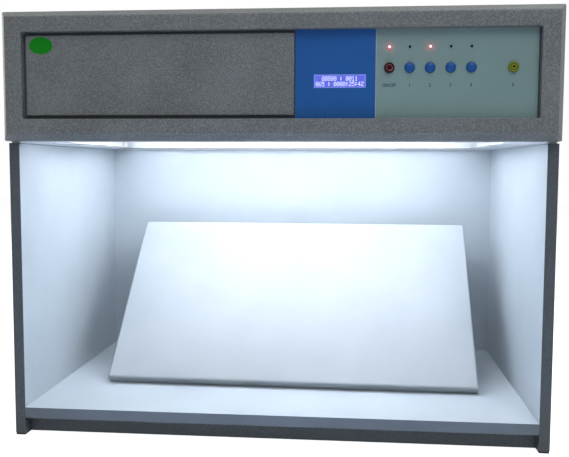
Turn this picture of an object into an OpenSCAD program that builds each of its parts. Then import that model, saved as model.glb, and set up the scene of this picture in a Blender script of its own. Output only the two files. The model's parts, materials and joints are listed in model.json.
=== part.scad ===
// Colour assessment cabinet: a tabletop viewing booth with a lamp housing on top
// and a loose 45 degree viewing stand inside.
// X runs to the right, Y to the back, Z up. The origin is on the table, at the centre of the footprint.

/* [Cabinet] */
// Overall width over the side panels
cabinet_w = 710; // [690:1:900]
// Depth of the side panels, front edge to rear edge
cabinet_d = 420; // [400:1:560]
// Height of the side panels' top edges above the table
panel_top_z = 396; // [350:1:500]
// Thickness of each side panel
side_t = 14; // [11:0.5:20]
// Thickness of the back panel
back_t = 12; // [9:0.5:18]
// How far the back panel is set in from the rear edges
back_inset = 3; // [1:0.5:10]
// Height of the chamber floor's upper face above the table
floor_top_z = 38; // [34:0.5:60]
// Thickness of the floor panel
floor_t = 14.5; // [12:0.5:20]
// How far the plinth is set back from the front edges
plinth_setback = 16; // [8:0.5:40]
// Thickness of the plinth
plinth_t = 12; // [9:0.5:18]
// Gap between the plinth and the table
plinth_clear = 1; // [0.5:0.5:4]
// Height of the rubber foot strips
foot_h = 2.5; // [1.5:0.5:5]
// Width of the rubber foot strips
foot_w = 13; // [8:0.5:14]
// Shank radius of the panel screws
screw_r = 2.5; // [2:0.1:3]
// Head radius of the panel screws
screw_head_r = 4.5; // [3.5:0.1:5]
// Head height of the panel screws
screw_head_h = 4; // [3:0.5:6]
// Length of the panel screws, head included
screw_l = 45; // [35:1:60]

/* [Lamp housing] */
// Height of the lamp housing
header_h = 166; // [160:1:220]
// Height of the seal strips between the side panels and the housing
header_gap = 2; // [1:0.5:5]
// Width of the seal strips
seal_w = 11; // [9:0.5:12]
// How far the housing's face stands ahead of the side panels
header_overhang = 25; // [18:1:60]
// Thickness of the housing's sheet steel
sheet_t = 1.2; // [0.8:0.1:2]
// Width of the slanted flange round the face, seen from the front
bevel_w = 8.5; // [4:0.5:10]
// Depth of the slanted flange
bevel_d = 13; // [8:0.5:18]
// Depth of the straight skirt behind the slanted flange
skirt_d = 20; // [12:1:30]
// Height of the upturned flanges of the base tray
tray_flange_h = 14; // [8:1:24]
// Width of the inward flanges that the rear cover screws to
rear_flange_w = 12; // [9:1:20]
// Depth of the tongue that locates the top cover under the skirt
tongue_d = 8; // [4:1:12]
// Shank radius of the machine screws in the sheet metal
machine_r = 1.5; // [1:0.1:2]

/* [Front panel] */
// Width of the housing's face beside the window
window_side = 30; // [17:0.5:40]
// Height of the housing's face above and below the window
window_band = 28; // [23:0.5:31]
// Corner radius of the window
window_r = 2.5; // [1:0.5:6]
// Depth of the folded edge round the window
window_return = 12; // [9:0.5:16]
// Thickness of the carrier plate behind the window
chassis_t = 1.5; // [1:0.1:3]
// Margin of the carrier plate round the window
chassis_margin = 14; // [12:0.5:16]
// Depth of the blank panel's folded edges
blank_d = 4.5; // [3:0.5:8]
// Bend radius of the blank panel
blank_r = 1.6; // [1.3:0.1:3]
// Gap beside and above the blank panel
blank_gap = 3; // [1:0.2:5]
// Gap below the blank panel
blank_gap_low = 4.4; // [1:0.2:6]
// Gap between the control plate and the window's right edge
control_gap = 1.6; // [0.6:0.2:4]
// Gap between the blank panel and the control plate
panel_gap = 1.2; // [0.4:0.2:3]
// Thickness of the control plate
control_t = 1.5; // [1:0.1:3]
// Thickness of the printed films
film_t = 0.5; // [0.2:0.1:1]
// Width of the blue film beyond the display's visible area
display_margin = 11.9; // [6:0.1:20]
// Strip between the blue film and the grey film
film_gap = 0.8; // [0.4:0.2:3]

/* [Controls] */
// Distance from the blue film to the first button
button_margin = 16.8; // [12:0.2:30]
// Distance between neighbouring buttons
button_pitch = 25; // [22:0.5:28]
// Distance from the first button to the reset button
reset_dx = 150.5; // [130:0.5:180]
// Distance from the reset button to the control plate's right edge
reset_margin = 29.9; // [16:0.1:50]
// Height of the buttons above the middle of the window
button_dz = 7.5; // [4:0.5:12]
// Radius of the button caps
button_r = 6.3; // [5:0.1:7.5]
// How far the caps stand proud of the film
button_proud = 4.2; // [3:0.1:6]
// Travel of the buttons
button_travel = 1.5; // [0.5:0.1:2]
// Radial gap round a button cap
button_clear = 0.25; // [0.2:0.05:0.5]
// Radius of a button's stem
stem_r = 2; // [1.5:0.1:3]
// Radial running clearance of a stem in its switch
stem_clear = 0.05; // [0.03:0.01:0.09]
// Width of a switch body
switch_w = 12; // [11:0.5:14]
// Height of a switch body above the circuit board
switch_h = 6.4; // [5:0.1:6.6]
// Height of the indicators above the middle of the window
led_dz = 33; // [30:0.5:38]
// Radius of an indicator's lens
led_r = 1.5; // [1:0.1:2.5]
// Width of the display's visible area
lcd_w = 64.6; // [60:0.2:66]
// Height of the display's visible area
lcd_h = 16.5; // [14:0.5:18]
// Distance from the control plate's left edge to the display's visible area
lcd_margin = 23.3; // [12:0.1:40]
// Height of the display's middle above the middle of the window
lcd_dz = -8.4; // [-20:0.2:10]
// Distance from the carrier plate to the circuit board
board_gap = 9.5; // [9.2:0.1:14]

/* [Lamps] */
// Number of fluorescent tubes
lamp_count = 4; // [4:1:4]
// Length of a tube between its cap faces
tube_l = 589.8; // [560:0.1:600]
// Radius of a tube
tube_r = 13; // [8:0.5:14]
// Wall of the glass tube
glass_t = 0.8; // [0.6:0.1:1.2]
// Length of a metal end cap
cap_l = 8; // [5:0.5:14]
// Radius of a contact pin
pin_r = 1.175; // [1:0.025:1.3]
// Distance between the two pins of a cap
pin_pitch = 12.7; // [10:0.1:13]
// Length of a contact pin
pin_l = 7.1; // [5:0.1:8]
// Height of the tube axes above the housing's base
lamp_h = 28; // [26:1:44]
// Distance from the last tube's axis to the rear of the light opening
lamp_back = 45; // [42:1:56]
// Distance between neighbouring tubes
lamp_pitch = 54; // [40:1:56]
// Radius of the lampholders' round ends
holder_r = 14; // [11:0.5:16]
// Thickness of a lampholder
holder_t = 16.5; // [12:0.5:20]
// Gap between a tube's cap and its lampholder
holder_gap = 0.4; // [0.3:0.1:1]
// Radius of a lampholder's rotor
rotor_r = 8.5; // [8:0.1:10]
// Thickness of a rotor
rotor_t = 8; // [7.5:0.5:10]
// Radial running clearance of a rotor
rotor_clear = 0.06; // [0.03:0.01:0.09]
// Number of tungsten bulbs
bulb_count = 4; // [2:1:5]
// Distance between neighbouring bulbs
bulb_pitch = 140; // [80:5:150]
// Distance from the row of bulbs to the first tube
bulb_gap = 67; // [50:1:90]
// Radius of a bulb
bulb_r = 22.5; // [18:0.5:24]
// Distance from the reflector to the middle of a bulb
bulb_drop = 36; // [32:0.5:38]
// Height of the reflector's roof above the housing's base
roof_h = 76; // [70:1:90]
// Thickness of the reflector's sheet
reflector_t = 0.8; // [0.6:0.1:1.5]
// Distance from the front edges to the light opening
opening_y0 = 32; // [28:1:38]
// Distance from the rear of the light opening to the back panel
opening_rear = 10.5; // [10:0.5:24]
// Width of the reflector's flanges on the base tray
reflector_flange_w = 12; // [8:1:16]
// How far the reflector's front and rear walls lean in
reflector_lean = 30; // [26:1:32]

/* [Electrics] */
// Length of a ballast
ballast_l = 190; // [150:1:200]
// Width of a ballast
ballast_w = 38; // [30:1:44]
// Height of a ballast
ballast_h = 28; // [20:1:34]
// Distance from a lamp bracket to the ballasts beside it
ballast_side = 11.8; // [11:0.1:20]
// Distance from the housing's side to the mains inlet's middle
inlet_side = 85; // [55:1:150]
// Height of the mains inlet's middle above the housing's base
inlet_h = 46; // [40:1:60]
// Width of the inlet's body
inlet_w = 28; // [27:0.5:32]
// Height of the inlet's body
inlet_body_h = 34; // [33:0.5:38]
// Thickness of the inlet's flange
inlet_flange_t = 2.5; // [2:0.1:4]
// How far the fuse drawer's face stands proud of the flange
drawer_face_t = 1.5; // [1:0.1:3]
// Clearance round the fuse drawer
drawer_clear = 0.25; // [0.15:0.05:0.4]

/* [Viewing stand] */
// Width of the stand's board
stand_w = 550; // [400:1:600]
// Length of the sloping board
stand_l = 312; // [240:1:330]
// Depth of the board's folded edges
stand_edge = 15; // [10:0.5:20]
// Bend radius of the board's edges
stand_r = 3.5; // [2:0.5:5]
// Thickness of the stand's sheet
stand_t = 1.5; // [1:0.1:1.9]
// Distance from the cabinet's front edges to the board's front edge
stand_y = 122.4; // [40:0.1:140]
// Distance of the stand's middle to the right of the cabinet's middle
stand_x = 8; // [-20:0.5:20]
// How far the stand is turned on the floor, in degrees
stand_turn = -0.85; // [-2:0.05:2]
// Distance from the board's sides to the rear leg
leg_side = 25; // [10:1:120]
// Height from the leg's top up to the board's upper edge
leg_drop = 15.6; // [13:0.1:60]
// Width of the leg's turned flanges
leg_flange_w = 16; // [10:1:20]
// Gap between the stand and the chamber floor
stand_clear = 0.2; // [0.1:0.05:0.3]

/* [Hidden] */

fine = 48;
round_fn = 32;
fit = 0.05;
seat = 0.2;
over = 1;

housing_grey = "#5f6364";
panel_grey = "#4b5053";
chamber_grey = "#c3ccd2";
rubber_black = "#1b1c1e";
foam_grey = "#80868b";
zinc = "#b9bcbf";
board_green = "#1f5a38";

half_w = cabinet_w / 2;
window_w = cabinet_w - 2 * window_side;
window_h = header_h - 2 * window_band;
inner_half = half_w - side_t;
rear_proud = inlet_flange_t + drawer_face_t;
front_y = -(cabinet_d + rear_proud - header_overhang) / 2;
back_y = front_y + cabinet_d;
chamber_d = cabinet_d - back_inset - back_t;
back_face_y = front_y + chamber_d;
floor_under_z = floor_top_z - floor_t;
seal_in = 0.4;
seal_front = 3;

header_z = panel_top_z + header_gap;
header_top_z = header_z + header_h;
face_y = front_y - header_overhang;
bevel_y = face_y + bevel_d;
skirt_y = bevel_y + skirt_d;
tray_z = header_z + sheet_t;
tray_half = half_w - sheet_t - seat;
cover_y = back_y - sheet_t;
flange_y = cover_y - sheet_t;

window_z = header_z + header_h / 2;
chassis_y = face_y + window_return;
chassis_back_y = chassis_y + chassis_t;
board_y = chassis_back_y + board_gap;
board_t = 1.6;
plate_y = chassis_y - control_t;
film_y = plate_y - film_t;
control_right = window_w / 2 - control_gap;
display_w = lcd_margin + lcd_w + display_margin;
button_dx = display_w + button_margin;
control_w = button_dx + reset_dx + reset_margin;
control_left = control_right - control_w;
control_h = window_h - 2 * fit;
control_clear = 1;
display_right = control_left + display_w;
blank_w = control_left - panel_gap - blank_gap + window_w / 2;
blank_h = window_h - blank_gap - blank_gap_low;
blank_x = -window_w / 2 + blank_gap + blank_w / 2;
blank_z = window_z + (blank_gap_low - blank_gap) / 2;
blank_t = 1.2;
lcd_x = control_left + lcd_margin + lcd_w / 2;
lcd_z = window_z + lcd_dz;
first_button_x = control_left + button_dx;
button_z = window_z + button_dz;
led_z = window_z + led_dz;
row_count = 5;
button_xs = concat([for (i = [0:row_count - 1]) first_button_x + i * button_pitch],
                   [first_button_x + reset_dx]);
led_xs = [for (i = [0:row_count - 1]) first_button_x + i * button_pitch];
lit_leds = [0, 2];
button_colours = ["#7a1a20", "#3a6cb5", "#3a6cb5", "#3a6cb5", "#3a6cb5", "#9aa012"];
ringed_buttons = [1, 6];

bezel_margin = 3.3;
bezel_d = 8;
lcd_board_margin = 7.7;
lcd_board_h = 36;
lcd_glass_t = 1.1;
lcd_back_y = chassis_y + bezel_d;
board_margin_x = 15;
board_below = 16;
board_above = 13;
board_low_z = button_z - board_below;
board_top_z = led_z + board_above;
cutout_below = 3;
cutout_above = 6;
cutout_side = 10;
cutout_low_z = button_z - button_r - cutout_below;
cutout_top_z = led_z + cutout_above;
cutout_left = first_button_x - cutout_side;
cutout_right = first_button_x + reset_dx + cutout_side;
stud_reach = 5;
nut_h = 2.4;
post_r = 2.5;

roof_z = header_z + roof_h;
lamp_z = header_z + lamp_h;
opening_front = front_y + opening_y0;
holder_x = tube_l / 2 + holder_gap;
bracket_x = holder_x + holder_t;
bracket_t = 1.2;
bracket_foot_w = 12;
ballast_x = bracket_x - ballast_side - ballast_l / 2;
ballast_ear = 10;
ballast_ear_in = 4;
ballast_ear_t = 1.5;
ballast_hole_r = 2.2;
ballast_r = 3;

relay_board_w = 150;
relay_board_d = 110;
relay_board_inset = 10;
relay_post_h = 8;
relay_post_r = 3;
relay_post_in = 5;
relay_w = 19;
relay_d = 16;
relay_part_h = 16;
relay_pitch = 22;
relay_margin = 10;
relay_front = 12;
transformer_w = 42;
transformer_d = 36;
transformer_h = 34;
transformer_margin = 13;
transformer_back = 24;
terminal_w = 60;
terminal_d = 12;
terminal_h = 12;
terminal_margin = 15;
terminal_back = 8;
opening_half = holder_x + 6;
opening_back = back_face_y - opening_rear;
bulb_y = lamp_y(1) - bulb_gap;
bulb_shoulder = 52;
bulb_hole_r = 15;
bulb_base_r = 6.95;
bulb_base_l = 22;
bulb_flange_t = 2;
roof_top_z = roof_z + reflector_t;

inlet_x = half_w - inlet_side;
inlet_z = header_z + inlet_h;
inlet_body_d = 30;
inlet_flange_w = 50;
inlet_flange_h = inlet_body_h + 4;
inlet_flange_r = 3;
inlet_screw_x = 20;
inlet_head_r = 1.8 * machine_r;
inlet_head_t = 1.4;
pin_half_w = 1;
pin_half_h = 2;
socket_w = 24.2;
socket_h = 16.6;
socket_d = 17;
socket_dz = 6.4;
pin_reach = 12;
pin_tail = 8;
drawer_w = 22;
drawer_h = 8.4;
drawer_d = 26;
drawer_dz = -10.2;
inlet_face_y = back_y + inlet_flange_t;
drawer_lip = 0.8;
drawer_end = 2;
drawer_front = 3;
drawer_bottom = 1.2;
trough_w = 5.6;
grip_w = 8;
grip_h = 1;
grip_d = 0.6;
fuse_r = 2.6;
fuse_l = 20;
fuse_clear = 0.5;

screw_ys = [for (s = [0.15, 0.5, 0.85]) front_y + s * cabinet_d];
screw_zs = [for (s = [0.22, 0.55, 0.9]) s * panel_top_z];
floor_screw_z = floor_top_z - floor_t / 2;
back_screw_y = back_face_y + back_t / 2;
plinth_screw_y = front_y + plinth_setback + plinth_t / 2;
plinth_screw_z = (plinth_clear + floor_under_z) / 2;
housing_screw_r = 2;
housing_screw_l = 28;
housing_head_r = 3.6;
housing_head_h = 2.4;
housing_screw_ys = [for (s = [0.15, 0.85]) front_y + s * cabinet_d];
housing_screw_x = inner_half + side_t / 2;

slope = 45;
edge_drop = stand_edge * cos(slope);
leg_w = stand_w - 2 * leg_side;
leg_h = stand_l * sin(slope) - leg_drop;
rear_screw_in = 30;
vent_l = 36;
vent_w = 4;
vent_columns = 5;
vent_rows = 4;
vent_x0 = 50;
vent_pitch_x = 48;
vent_drop = 42;
vent_pitch_z = 12;
rear_screw_xs = [for (s = [-1:0.5:1]) s * (half_w - rear_screw_in)];

// ---- shared shapes ----

// Unit vector square to the step from a to b, on its left
function left_of(a, b) = let (d = b - a) [-d[1], d[0]] / norm(d);

// Corner of a bent strip: point p moved by t, mitred between two steps
function mitred(p, n1, n2, t) = p + (n1 + n2) * t / (1 + n1 * n2);

// Outline of a strip of thickness t that follows the points on its left side
function strip(points, t) = let (
    n = len(points),
    sides = [for (i = [0:n - 2]) left_of(points[i], points[i + 1])],
    moved = [for (i = [n - 1:-1:0])
        mitred(points[i], sides[max(i - 1, 0)], sides[min(i, n - 2)], t)])
    concat(points, moved);

// Points of an arc about c, from angle a0 to a1
function arc(c, r, a0, a1, steps = 5) =
    [for (i = [0:steps]) let (a = a0 + (a1 - a0) * i / steps) c + r * [cos(a), sin(a)]];

// Section across a folded pan: face at y = 0, edges standing up to y = d
function pan_section(w, d, r) = concat(
    [[-w / 2, d]],
    arc([-w / 2 + r, r], r, 180, 270),
    arc([w / 2 - r, r], r, 270, 360),
    [[w / 2, d]]);

module pan_block(w, h, d, r) {
    intersection() {
        rotate([90, 0, 0]) linear_extrude(h, center = true) polygon(pan_section(w, d, r));
        rotate([90, 0, 90]) linear_extrude(w, center = true) polygon(pan_section(h, d, r));
    }
}

// Folded sheet pan, its face centred at the origin and its edges standing along +Z
module folded_pan(w, h, d, r, t) {
    difference() {
        pan_block(w, h, d, r);
        translate([0, 0, t]) pan_block(w - 2 * t, h - 2 * t, d, max(r - t, 0.1));
    }
}

module rounded_rect(w, h, r) {
    square([w - 2 * r, h], center = true);
    square([w, h - 2 * r], center = true);
    for (x = [-1, 1], y = [-1, 1])
        translate([x * (w / 2 - r), y * (h / 2 - r)]) circle(r, $fn = fine);
}

// Draws its 2D children in the XZ plane, from y0 to y1
module upright(y0, y1) {
    translate([0, y1, 0]) rotate([90, 0, 0]) linear_extrude(y1 - y0) children();
}

// Draws its 2D children in the YZ plane, from x0 to x1
module lengthwise(x0, x1) {
    translate([x0, 0, 0]) rotate([90, 0, 90]) linear_extrude(x1 - x0) children();
}

// Cylinder along +Y from y0 to y1
module rod_y(x, z, r, y0, y1) {
    translate([x, y0, z]) rotate([-90, 0, 0]) cylinder(r = r, h = y1 - y0, $fn = fine);
}

// Cylinder along +X from x0 to x1
module rod_x(x0, x1, y, z, r) {
    translate([x0, y, z]) rotate([0, 90, 0]) cylinder(r = r, h = x1 - x0, $fn = fine);
}

module block(x0, x1, y0, y1, z0, z1) {
    translate([x0, y0, z0]) cube([x1 - x0, y1 - y0, z1 - z0]);
}

module both_sides() {
    children();
    mirror([1, 0, 0]) children();
}

// ---- cabinet ----

// Places its children at each screw on the right-hand side, axis along -X from the outer face
module at_side_screws() {
    for (y = screw_ys) translate([half_w, y, floor_screw_z]) rotate([0, -90, 0]) children();
    for (z = screw_zs) translate([half_w, back_screw_y, z]) rotate([0, -90, 0]) children();
    translate([half_w, plinth_screw_y, plinth_screw_z]) rotate([0, -90, 0]) children();
}

module panel_screw() {
    difference() {
        union() {
            cylinder(r = screw_head_r, h = screw_head_h, $fn = fine);
            cylinder(r = screw_r, h = screw_l, $fn = fine);
        }
        translate([0, 0, -over]) cylinder(r = screw_r, h = over + screw_head_h / 2, $fn = 6);
    }
}

module panel_screw_hole() {
    translate([0, 0, -over]) cylinder(r = screw_head_r + fit, h = screw_head_h + over, $fn = fine);
    cylinder(r = screw_r + fit, h = screw_l + over, $fn = fine);
}

module housing_screw_holes(z0, z1) {
    both_sides() for (y = housing_screw_ys)
        translate([housing_screw_x, y, z0])
            cylinder(r = housing_screw_r + fit, h = z1 - z0, $fn = fine);
}

module side_panel() {
    color(panel_grey) difference() {
        block(inner_half, half_w, front_y, back_y, foot_h, panel_top_z);
        at_side_screws() panel_screw_hole();
        housing_screw_holes(panel_top_z - housing_screw_l, panel_top_z + over);
    }
}

module back_panel() {
    color(chamber_grey) difference() {
        block(-inner_half, inner_half, back_face_y, back_face_y + back_t, plinth_clear, panel_top_z);
        both_sides() at_side_screws() panel_screw_hole();
    }
}

module floor_panel() {
    color(chamber_grey) difference() {
        block(-inner_half, inner_half, front_y, back_face_y, floor_under_z, floor_top_z);
        both_sides() at_side_screws() panel_screw_hole();
    }
}

module front_plinth() {
    color(panel_grey) difference() {
        block(-inner_half, inner_half, front_y + plinth_setback, front_y + plinth_setback + plinth_t,
              plinth_clear, floor_under_z);
        both_sides() at_side_screws() panel_screw_hole();
    }
}

module foot_strips() {
    color(rubber_black) both_sides() translate([half_w - side_t / 2, (front_y + back_y) / 2, 0])
        linear_extrude(foot_h) rounded_rect(foot_w, cabinet_d - (side_t - foot_w), 1);
}

module seal_strips() {
    inside = inner_half + seal_in;
    back = back_face_y + seal_in;
    color(foam_grey) difference() {
        block(-inside - seal_w, inside + seal_w, front_y + seal_front, back + seal_w, panel_top_z, header_z);
        block(-inside, inside, front_y, back, panel_top_z - over, header_z + over);
        housing_screw_holes(panel_top_z - over, header_z + over);
    }
}

module panel_screws() {
    color(zinc) {
        both_sides() at_side_screws() panel_screw();
        both_sides() for (y = housing_screw_ys) translate([housing_screw_x, y, 0]) {
            translate([0, 0, tray_z - housing_screw_l])
                cylinder(r = housing_screw_r, h = housing_screw_l + fit, $fn = fine);
            translate([0, 0, tray_z]) cylinder(r = housing_head_r, h = housing_head_h, $fn = fine);
        }
    }
}

// ---- lamp housing ----

// Section across the front frame: skirt, slanted flanges and face
function frame_section(half, y0, y1) = [
    [-half, y1], [-half, y0 + bevel_d], [-half + bevel_w, y0],
    [half - bevel_w, y0], [half, y0 + bevel_d], [half, y1]
];

module frame_block(half_x, half_z, y0, y1) {
    translate([0, 0, window_z]) intersection() {
        linear_extrude(header_h + over, center = true) polygon(frame_section(half_x, y0, y1));
        rotate([90, 0, 90]) linear_extrude(cabinet_w + over, center = true)
            polygon([for (p = frame_section(half_z, y0, y1)) [p[1], p[0]]]);
    }
}

module window_outline(grow = 0) {
    translate([0, window_z]) rounded_rect(window_w + 2 * grow, window_h + 2 * grow, window_r + grow);
}

module at_studs() {
    reach_x = window_w / 2 + chassis_margin / 2;
    reach_z = window_h / 2 + chassis_margin / 2;
    for (x = [-1, 1], z = [-1, 1]) translate([x * reach_x, 0, window_z + z * reach_z]) children();
}

module header_front_frame() {
    color(housing_grey) {
        difference() {
            union() {
                difference() {
                    frame_block(half_w, header_h / 2, face_y, skirt_y);
                    frame_block(half_w - sheet_t, header_h / 2 - sheet_t, face_y + sheet_t, skirt_y + over);
                }
                upright(face_y, chassis_y) window_outline(sheet_t);
            }
            upright(face_y - over, chassis_y + over) window_outline();
        }
        at_studs() rod_y(0, 0, machine_r, face_y + sheet_t, chassis_back_y + stud_reach);
    }
}

module header_cover() {
    inner = half_w - sheet_t;
    lip = sheet_t + fit;
    color(housing_grey) {
        difference() {
            block(-half_w, half_w, skirt_y, back_y, header_z, header_top_z);
            block(-inner, inner, skirt_y - over, back_y + over, header_z - over, header_top_z - sheet_t);
        }
        // tongue under the front frame's skirt
        difference() {
            block(-half_w + lip, half_w - lip, skirt_y - tongue_d, skirt_y + tongue_d,
                  tray_z + tray_flange_h + 2, header_top_z - lip);
            block(-half_w + 2 * lip, half_w - 2 * lip, skirt_y - tongue_d - over, skirt_y + tongue_d + over,
                  header_z, header_top_z - 2 * lip);
        }
        both_sides() block(inner - seat, inner + fit, skirt_y + fit, skirt_y + tongue_d,
                           tray_z + tray_flange_h + 2, header_top_z - sheet_t);
        block(-inner, inner, skirt_y + fit, skirt_y + tongue_d,
              header_top_z - sheet_t - seat, header_top_z - sheet_t + fit);
        // inward flanges for the rear cover
        difference() {
            block(-inner - fit, inner + fit, flange_y, cover_y,
                  tray_z + tray_flange_h + 2, header_top_z - sheet_t + fit);
            block(-inner + rear_flange_w, inner - rear_flange_w, flange_y - over, cover_y + over,
                  header_z, header_top_z - sheet_t - rear_flange_w);
            at_rear_screws() rod_y(0, 0, machine_r + fit, flange_y - over, cover_y + over);
        }
    }
}

module header_base() {
    color(housing_grey) difference() {
        block(-tray_half, tray_half, skirt_y, cover_y, header_z, tray_z + tray_flange_h);
        block(-tray_half + sheet_t, tray_half - sheet_t, skirt_y + sheet_t, flange_y,
              tray_z, tray_z + tray_flange_h + over);
        block(-opening_half, opening_half, opening_front, opening_back, header_z - over, tray_z + over);
        housing_screw_holes(header_z - over, tray_z + over);
        at_rear_screws() rod_y(0, 0, machine_r + fit, flange_y - over, cover_y + over);
    }
}

// Places its children at the screws of the rear cover
module at_rear_screws() {
    low_z = tray_z + tray_flange_h / 2;
    high_z = header_top_z - sheet_t - rear_flange_w / 2;
    for (x = rear_screw_xs, z = [low_z, high_z]) translate([x, 0, z]) children();
}

module vent_slots() {
    for (side = [-1, 1], i = [0:vent_columns - 1], j = [0:vent_rows - 1])
        translate([side * (vent_x0 + i * vent_pitch_x), header_top_z - vent_drop - j * vent_pitch_z])
            rounded_rect(vent_l, vent_w, vent_w / 2 - 0.01);
}

module header_back_panel() {
    color(housing_grey) difference() {
        upright(cover_y, back_y) difference() {
            translate([-tray_half, header_z + seat])
                square([2 * tray_half, header_h - sheet_t - 2 * seat]);
            vent_slots();
            translate([-inlet_x, inlet_z]) square([inlet_w + 2 * fit, inlet_body_h + 2 * fit], center = true);
        }
        at_rear_screws() rod_y(0, 0, machine_r + fit, cover_y - over, back_y + over);
        at_inlet_screws() rod_y(0, 0, machine_r + fit, cover_y - over, back_y + over);
    }
}

module header_screws() {
    color(zinc) {
        at_rear_screws() {
            rod_y(0, 0, machine_r, flange_y - 4, back_y);
            rod_y(0, 0, 2 * machine_r, back_y, back_y + 1.8);
        }
        at_inlet_screws() {
            rod_y(0, 0, machine_r, back_y - 6, inlet_face_y - inlet_head_t);
            rod_y(0, 0, inlet_head_r, inlet_face_y - inlet_head_t, inlet_face_y);
        }
    }
}

// ---- front panel ----

module control_chassis() {
    half_x = window_w / 2 + chassis_margin;
    half_z = window_h / 2 + chassis_margin;
    color(zinc) difference() {
        block(-half_x, half_x, chassis_y, chassis_back_y, window_z - half_z, window_z + half_z);
        block(cutout_left, cutout_right, chassis_y - over, chassis_back_y + over, cutout_low_z, cutout_top_z);
        block(lcd_x - lcd_w / 2 - bezel_margin - fit, lcd_x + lcd_w / 2 + bezel_margin + fit,
              chassis_y - over, chassis_back_y + over,
              lcd_z - lcd_h / 2 - bezel_margin - fit, lcd_z + lcd_h / 2 + bezel_margin + fit);
        at_studs() rod_y(0, 0, machine_r + fit, chassis_y - over, chassis_back_y + over);
    }
}

module chassis_nuts() {
    color(zinc) at_studs() translate([0, chassis_back_y, 0]) rotate([-90, 0, 0]) difference() {
        cylinder(r = 2 * machine_r, h = nut_h, $fn = 6);
        translate([0, 0, -over]) cylinder(r = machine_r + fit, h = nut_h + 2 * over, $fn = fine);
    }
}

module blank_panel() {
    color(housing_grey) translate([blank_x, chassis_y - blank_d, blank_z]) rotate([-90, 0, 0])
        folded_pan(blank_w, blank_h, blank_d, blank_r, blank_t);
}

module control_holes(grow) {
    for (x = button_xs) translate([x, button_z]) circle(button_r + button_clear + grow, $fn = fine);
    for (x = led_xs) translate([x, led_z]) circle(led_r + fit + grow, $fn = fine);
}

module lcd_outline(grow = 0) {
    translate([lcd_x, lcd_z]) square([lcd_w + 2 * grow, lcd_h + 2 * grow], center = true);
}

module control_plate() {
    color(zinc) upright(plate_y, chassis_y) difference() {
        translate([control_left, window_z - control_h / 2]) square([control_w, control_h]);
        control_holes(0);
        lcd_outline();
    }
}

module control_overlay() {
    color("#657a78") upright(film_y, plate_y) difference() {
        translate([display_right + film_gap, window_z - control_h / 2])
            square([control_right - display_right - film_gap, control_h]);
        control_holes(0);
    }
}

module display_overlay() {
    color("#22509a") upright(film_y, plate_y) difference() {
        translate([control_left, window_z - control_h / 2]) square([display_w, control_h]);
        lcd_outline();
    }
}

module lcd_window() {
    color("#8a94f0", 0.6) upright(film_y + fit, chassis_y - 0.3) lcd_outline();
}

module lcd_glass() {
    color("#6a78e8") upright(chassis_y, chassis_y + lcd_glass_t) lcd_outline(1);
}

module lcd_module() {
    color("#2a2c30") {
        upright(chassis_y, lcd_back_y) difference() {
            lcd_outline(bezel_margin);
            lcd_outline(1 + fit);
        }
        upright(chassis_y + lcd_glass_t, lcd_back_y) lcd_outline(2);
    }
    color(board_green) upright(lcd_back_y, lcd_back_y + board_t)
        translate([lcd_x, lcd_z]) square([lcd_w + 2 * lcd_board_margin, lcd_board_h], center = true);
}

module control_board() {
    color(board_green) difference() {
        block(first_button_x - board_margin_x, first_button_x + reset_dx + board_margin_x,
              board_y, board_y + board_t, board_low_z, board_top_z);
        at_board_posts() rod_y(0, 0, machine_r + fit, board_y - over, board_y + board_t + over);
    }
}

module at_board_posts() {
    edge = 4;
    for (x = [first_button_x - board_margin_x + edge, first_button_x + reset_dx + board_margin_x - edge],
         z = [board_low_z + edge, board_top_z - edge])
        translate([x, 0, z]) children();
}

module standoffs() {
    lcd_post_x = lcd_w / 2 + lcd_board_margin - 3;
    lcd_post_z = lcd_board_h / 2 - 3;
    color(zinc) {
        at_board_posts() {
            rod_y(0, 0, post_r, chassis_back_y, board_y);
            rod_y(0, 0, machine_r, board_y, board_y + board_t + 2);
            rod_y(0, 0, 2 * machine_r, board_y + board_t, board_y + board_t + 2);
        }
        for (x = [-1, 1], z = [-1, 1])
            rod_y(lcd_x + x * lcd_post_x, lcd_z + z * lcd_post_z, post_r, chassis_back_y, lcd_back_y);
    }
}

module switch_housings() {
    color("#2b2d31") for (x = button_xs) difference() {
        upright(board_y - switch_h, board_y)
            translate([x, button_z]) rounded_rect(switch_w, switch_w, 1);
        rod_y(x, button_z, stem_r + stem_clear, board_y - switch_h - over, board_y - 0.6);
    }
}

module led(x) {
    flange_back = plate_y + control_t + 1;
    rod_y(x, led_z, led_r, film_y - 0.6, flange_back - 1);
    rod_y(x, led_z, led_r + 0.4, flange_back - 1, flange_back);
    translate([x, film_y - 0.6, led_z]) intersection() {
        sphere(led_r, $fn = fine);
        translate([0, -led_r / 2, 0]) cube([2 * led_r, led_r, 2 * led_r], center = true);
    }
    for (dx = [-0.8, 0.8]) block(x + dx - 0.25, x + dx + 0.25, flange_back - fit, board_y,
                                 led_z - 0.25, led_z + 0.25);
}

module leds_on() {
    color("#ff6a70") for (i = [0:row_count - 1]) if (len(search(i, lit_leds)) > 0) led(led_xs[i]);
}

module leds_off() {
    color("#2a1214") for (i = [0:row_count - 1]) if (len(search(i, lit_leds)) == 0) led(led_xs[i]);
}

// Half section of a button: front surface, cap, stem. First number is the radius.
function dome_front() = concat(
    [[0, film_y - button_proud]],
    [for (i = [1:8]) let (a = i * 90 / 8)
        [button_r * sin(a), film_y - button_proud + (button_proud - 1) * (1 - cos(a))]]);

function ring_front() = let (top = film_y - button_proud + 0.6) [
    [0, top + 0.7], [button_r * 0.2, top + 0.6], [button_r * 0.3, top + 0.1],
    [button_r * 0.52, top], [button_r * 0.6, top + 0.5], [button_r * 0.7, top + 0.5],
    [button_r * 0.78, top + 0.1], [button_r * 0.9, top + 0.2], [button_r, top + 1]
];

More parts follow.
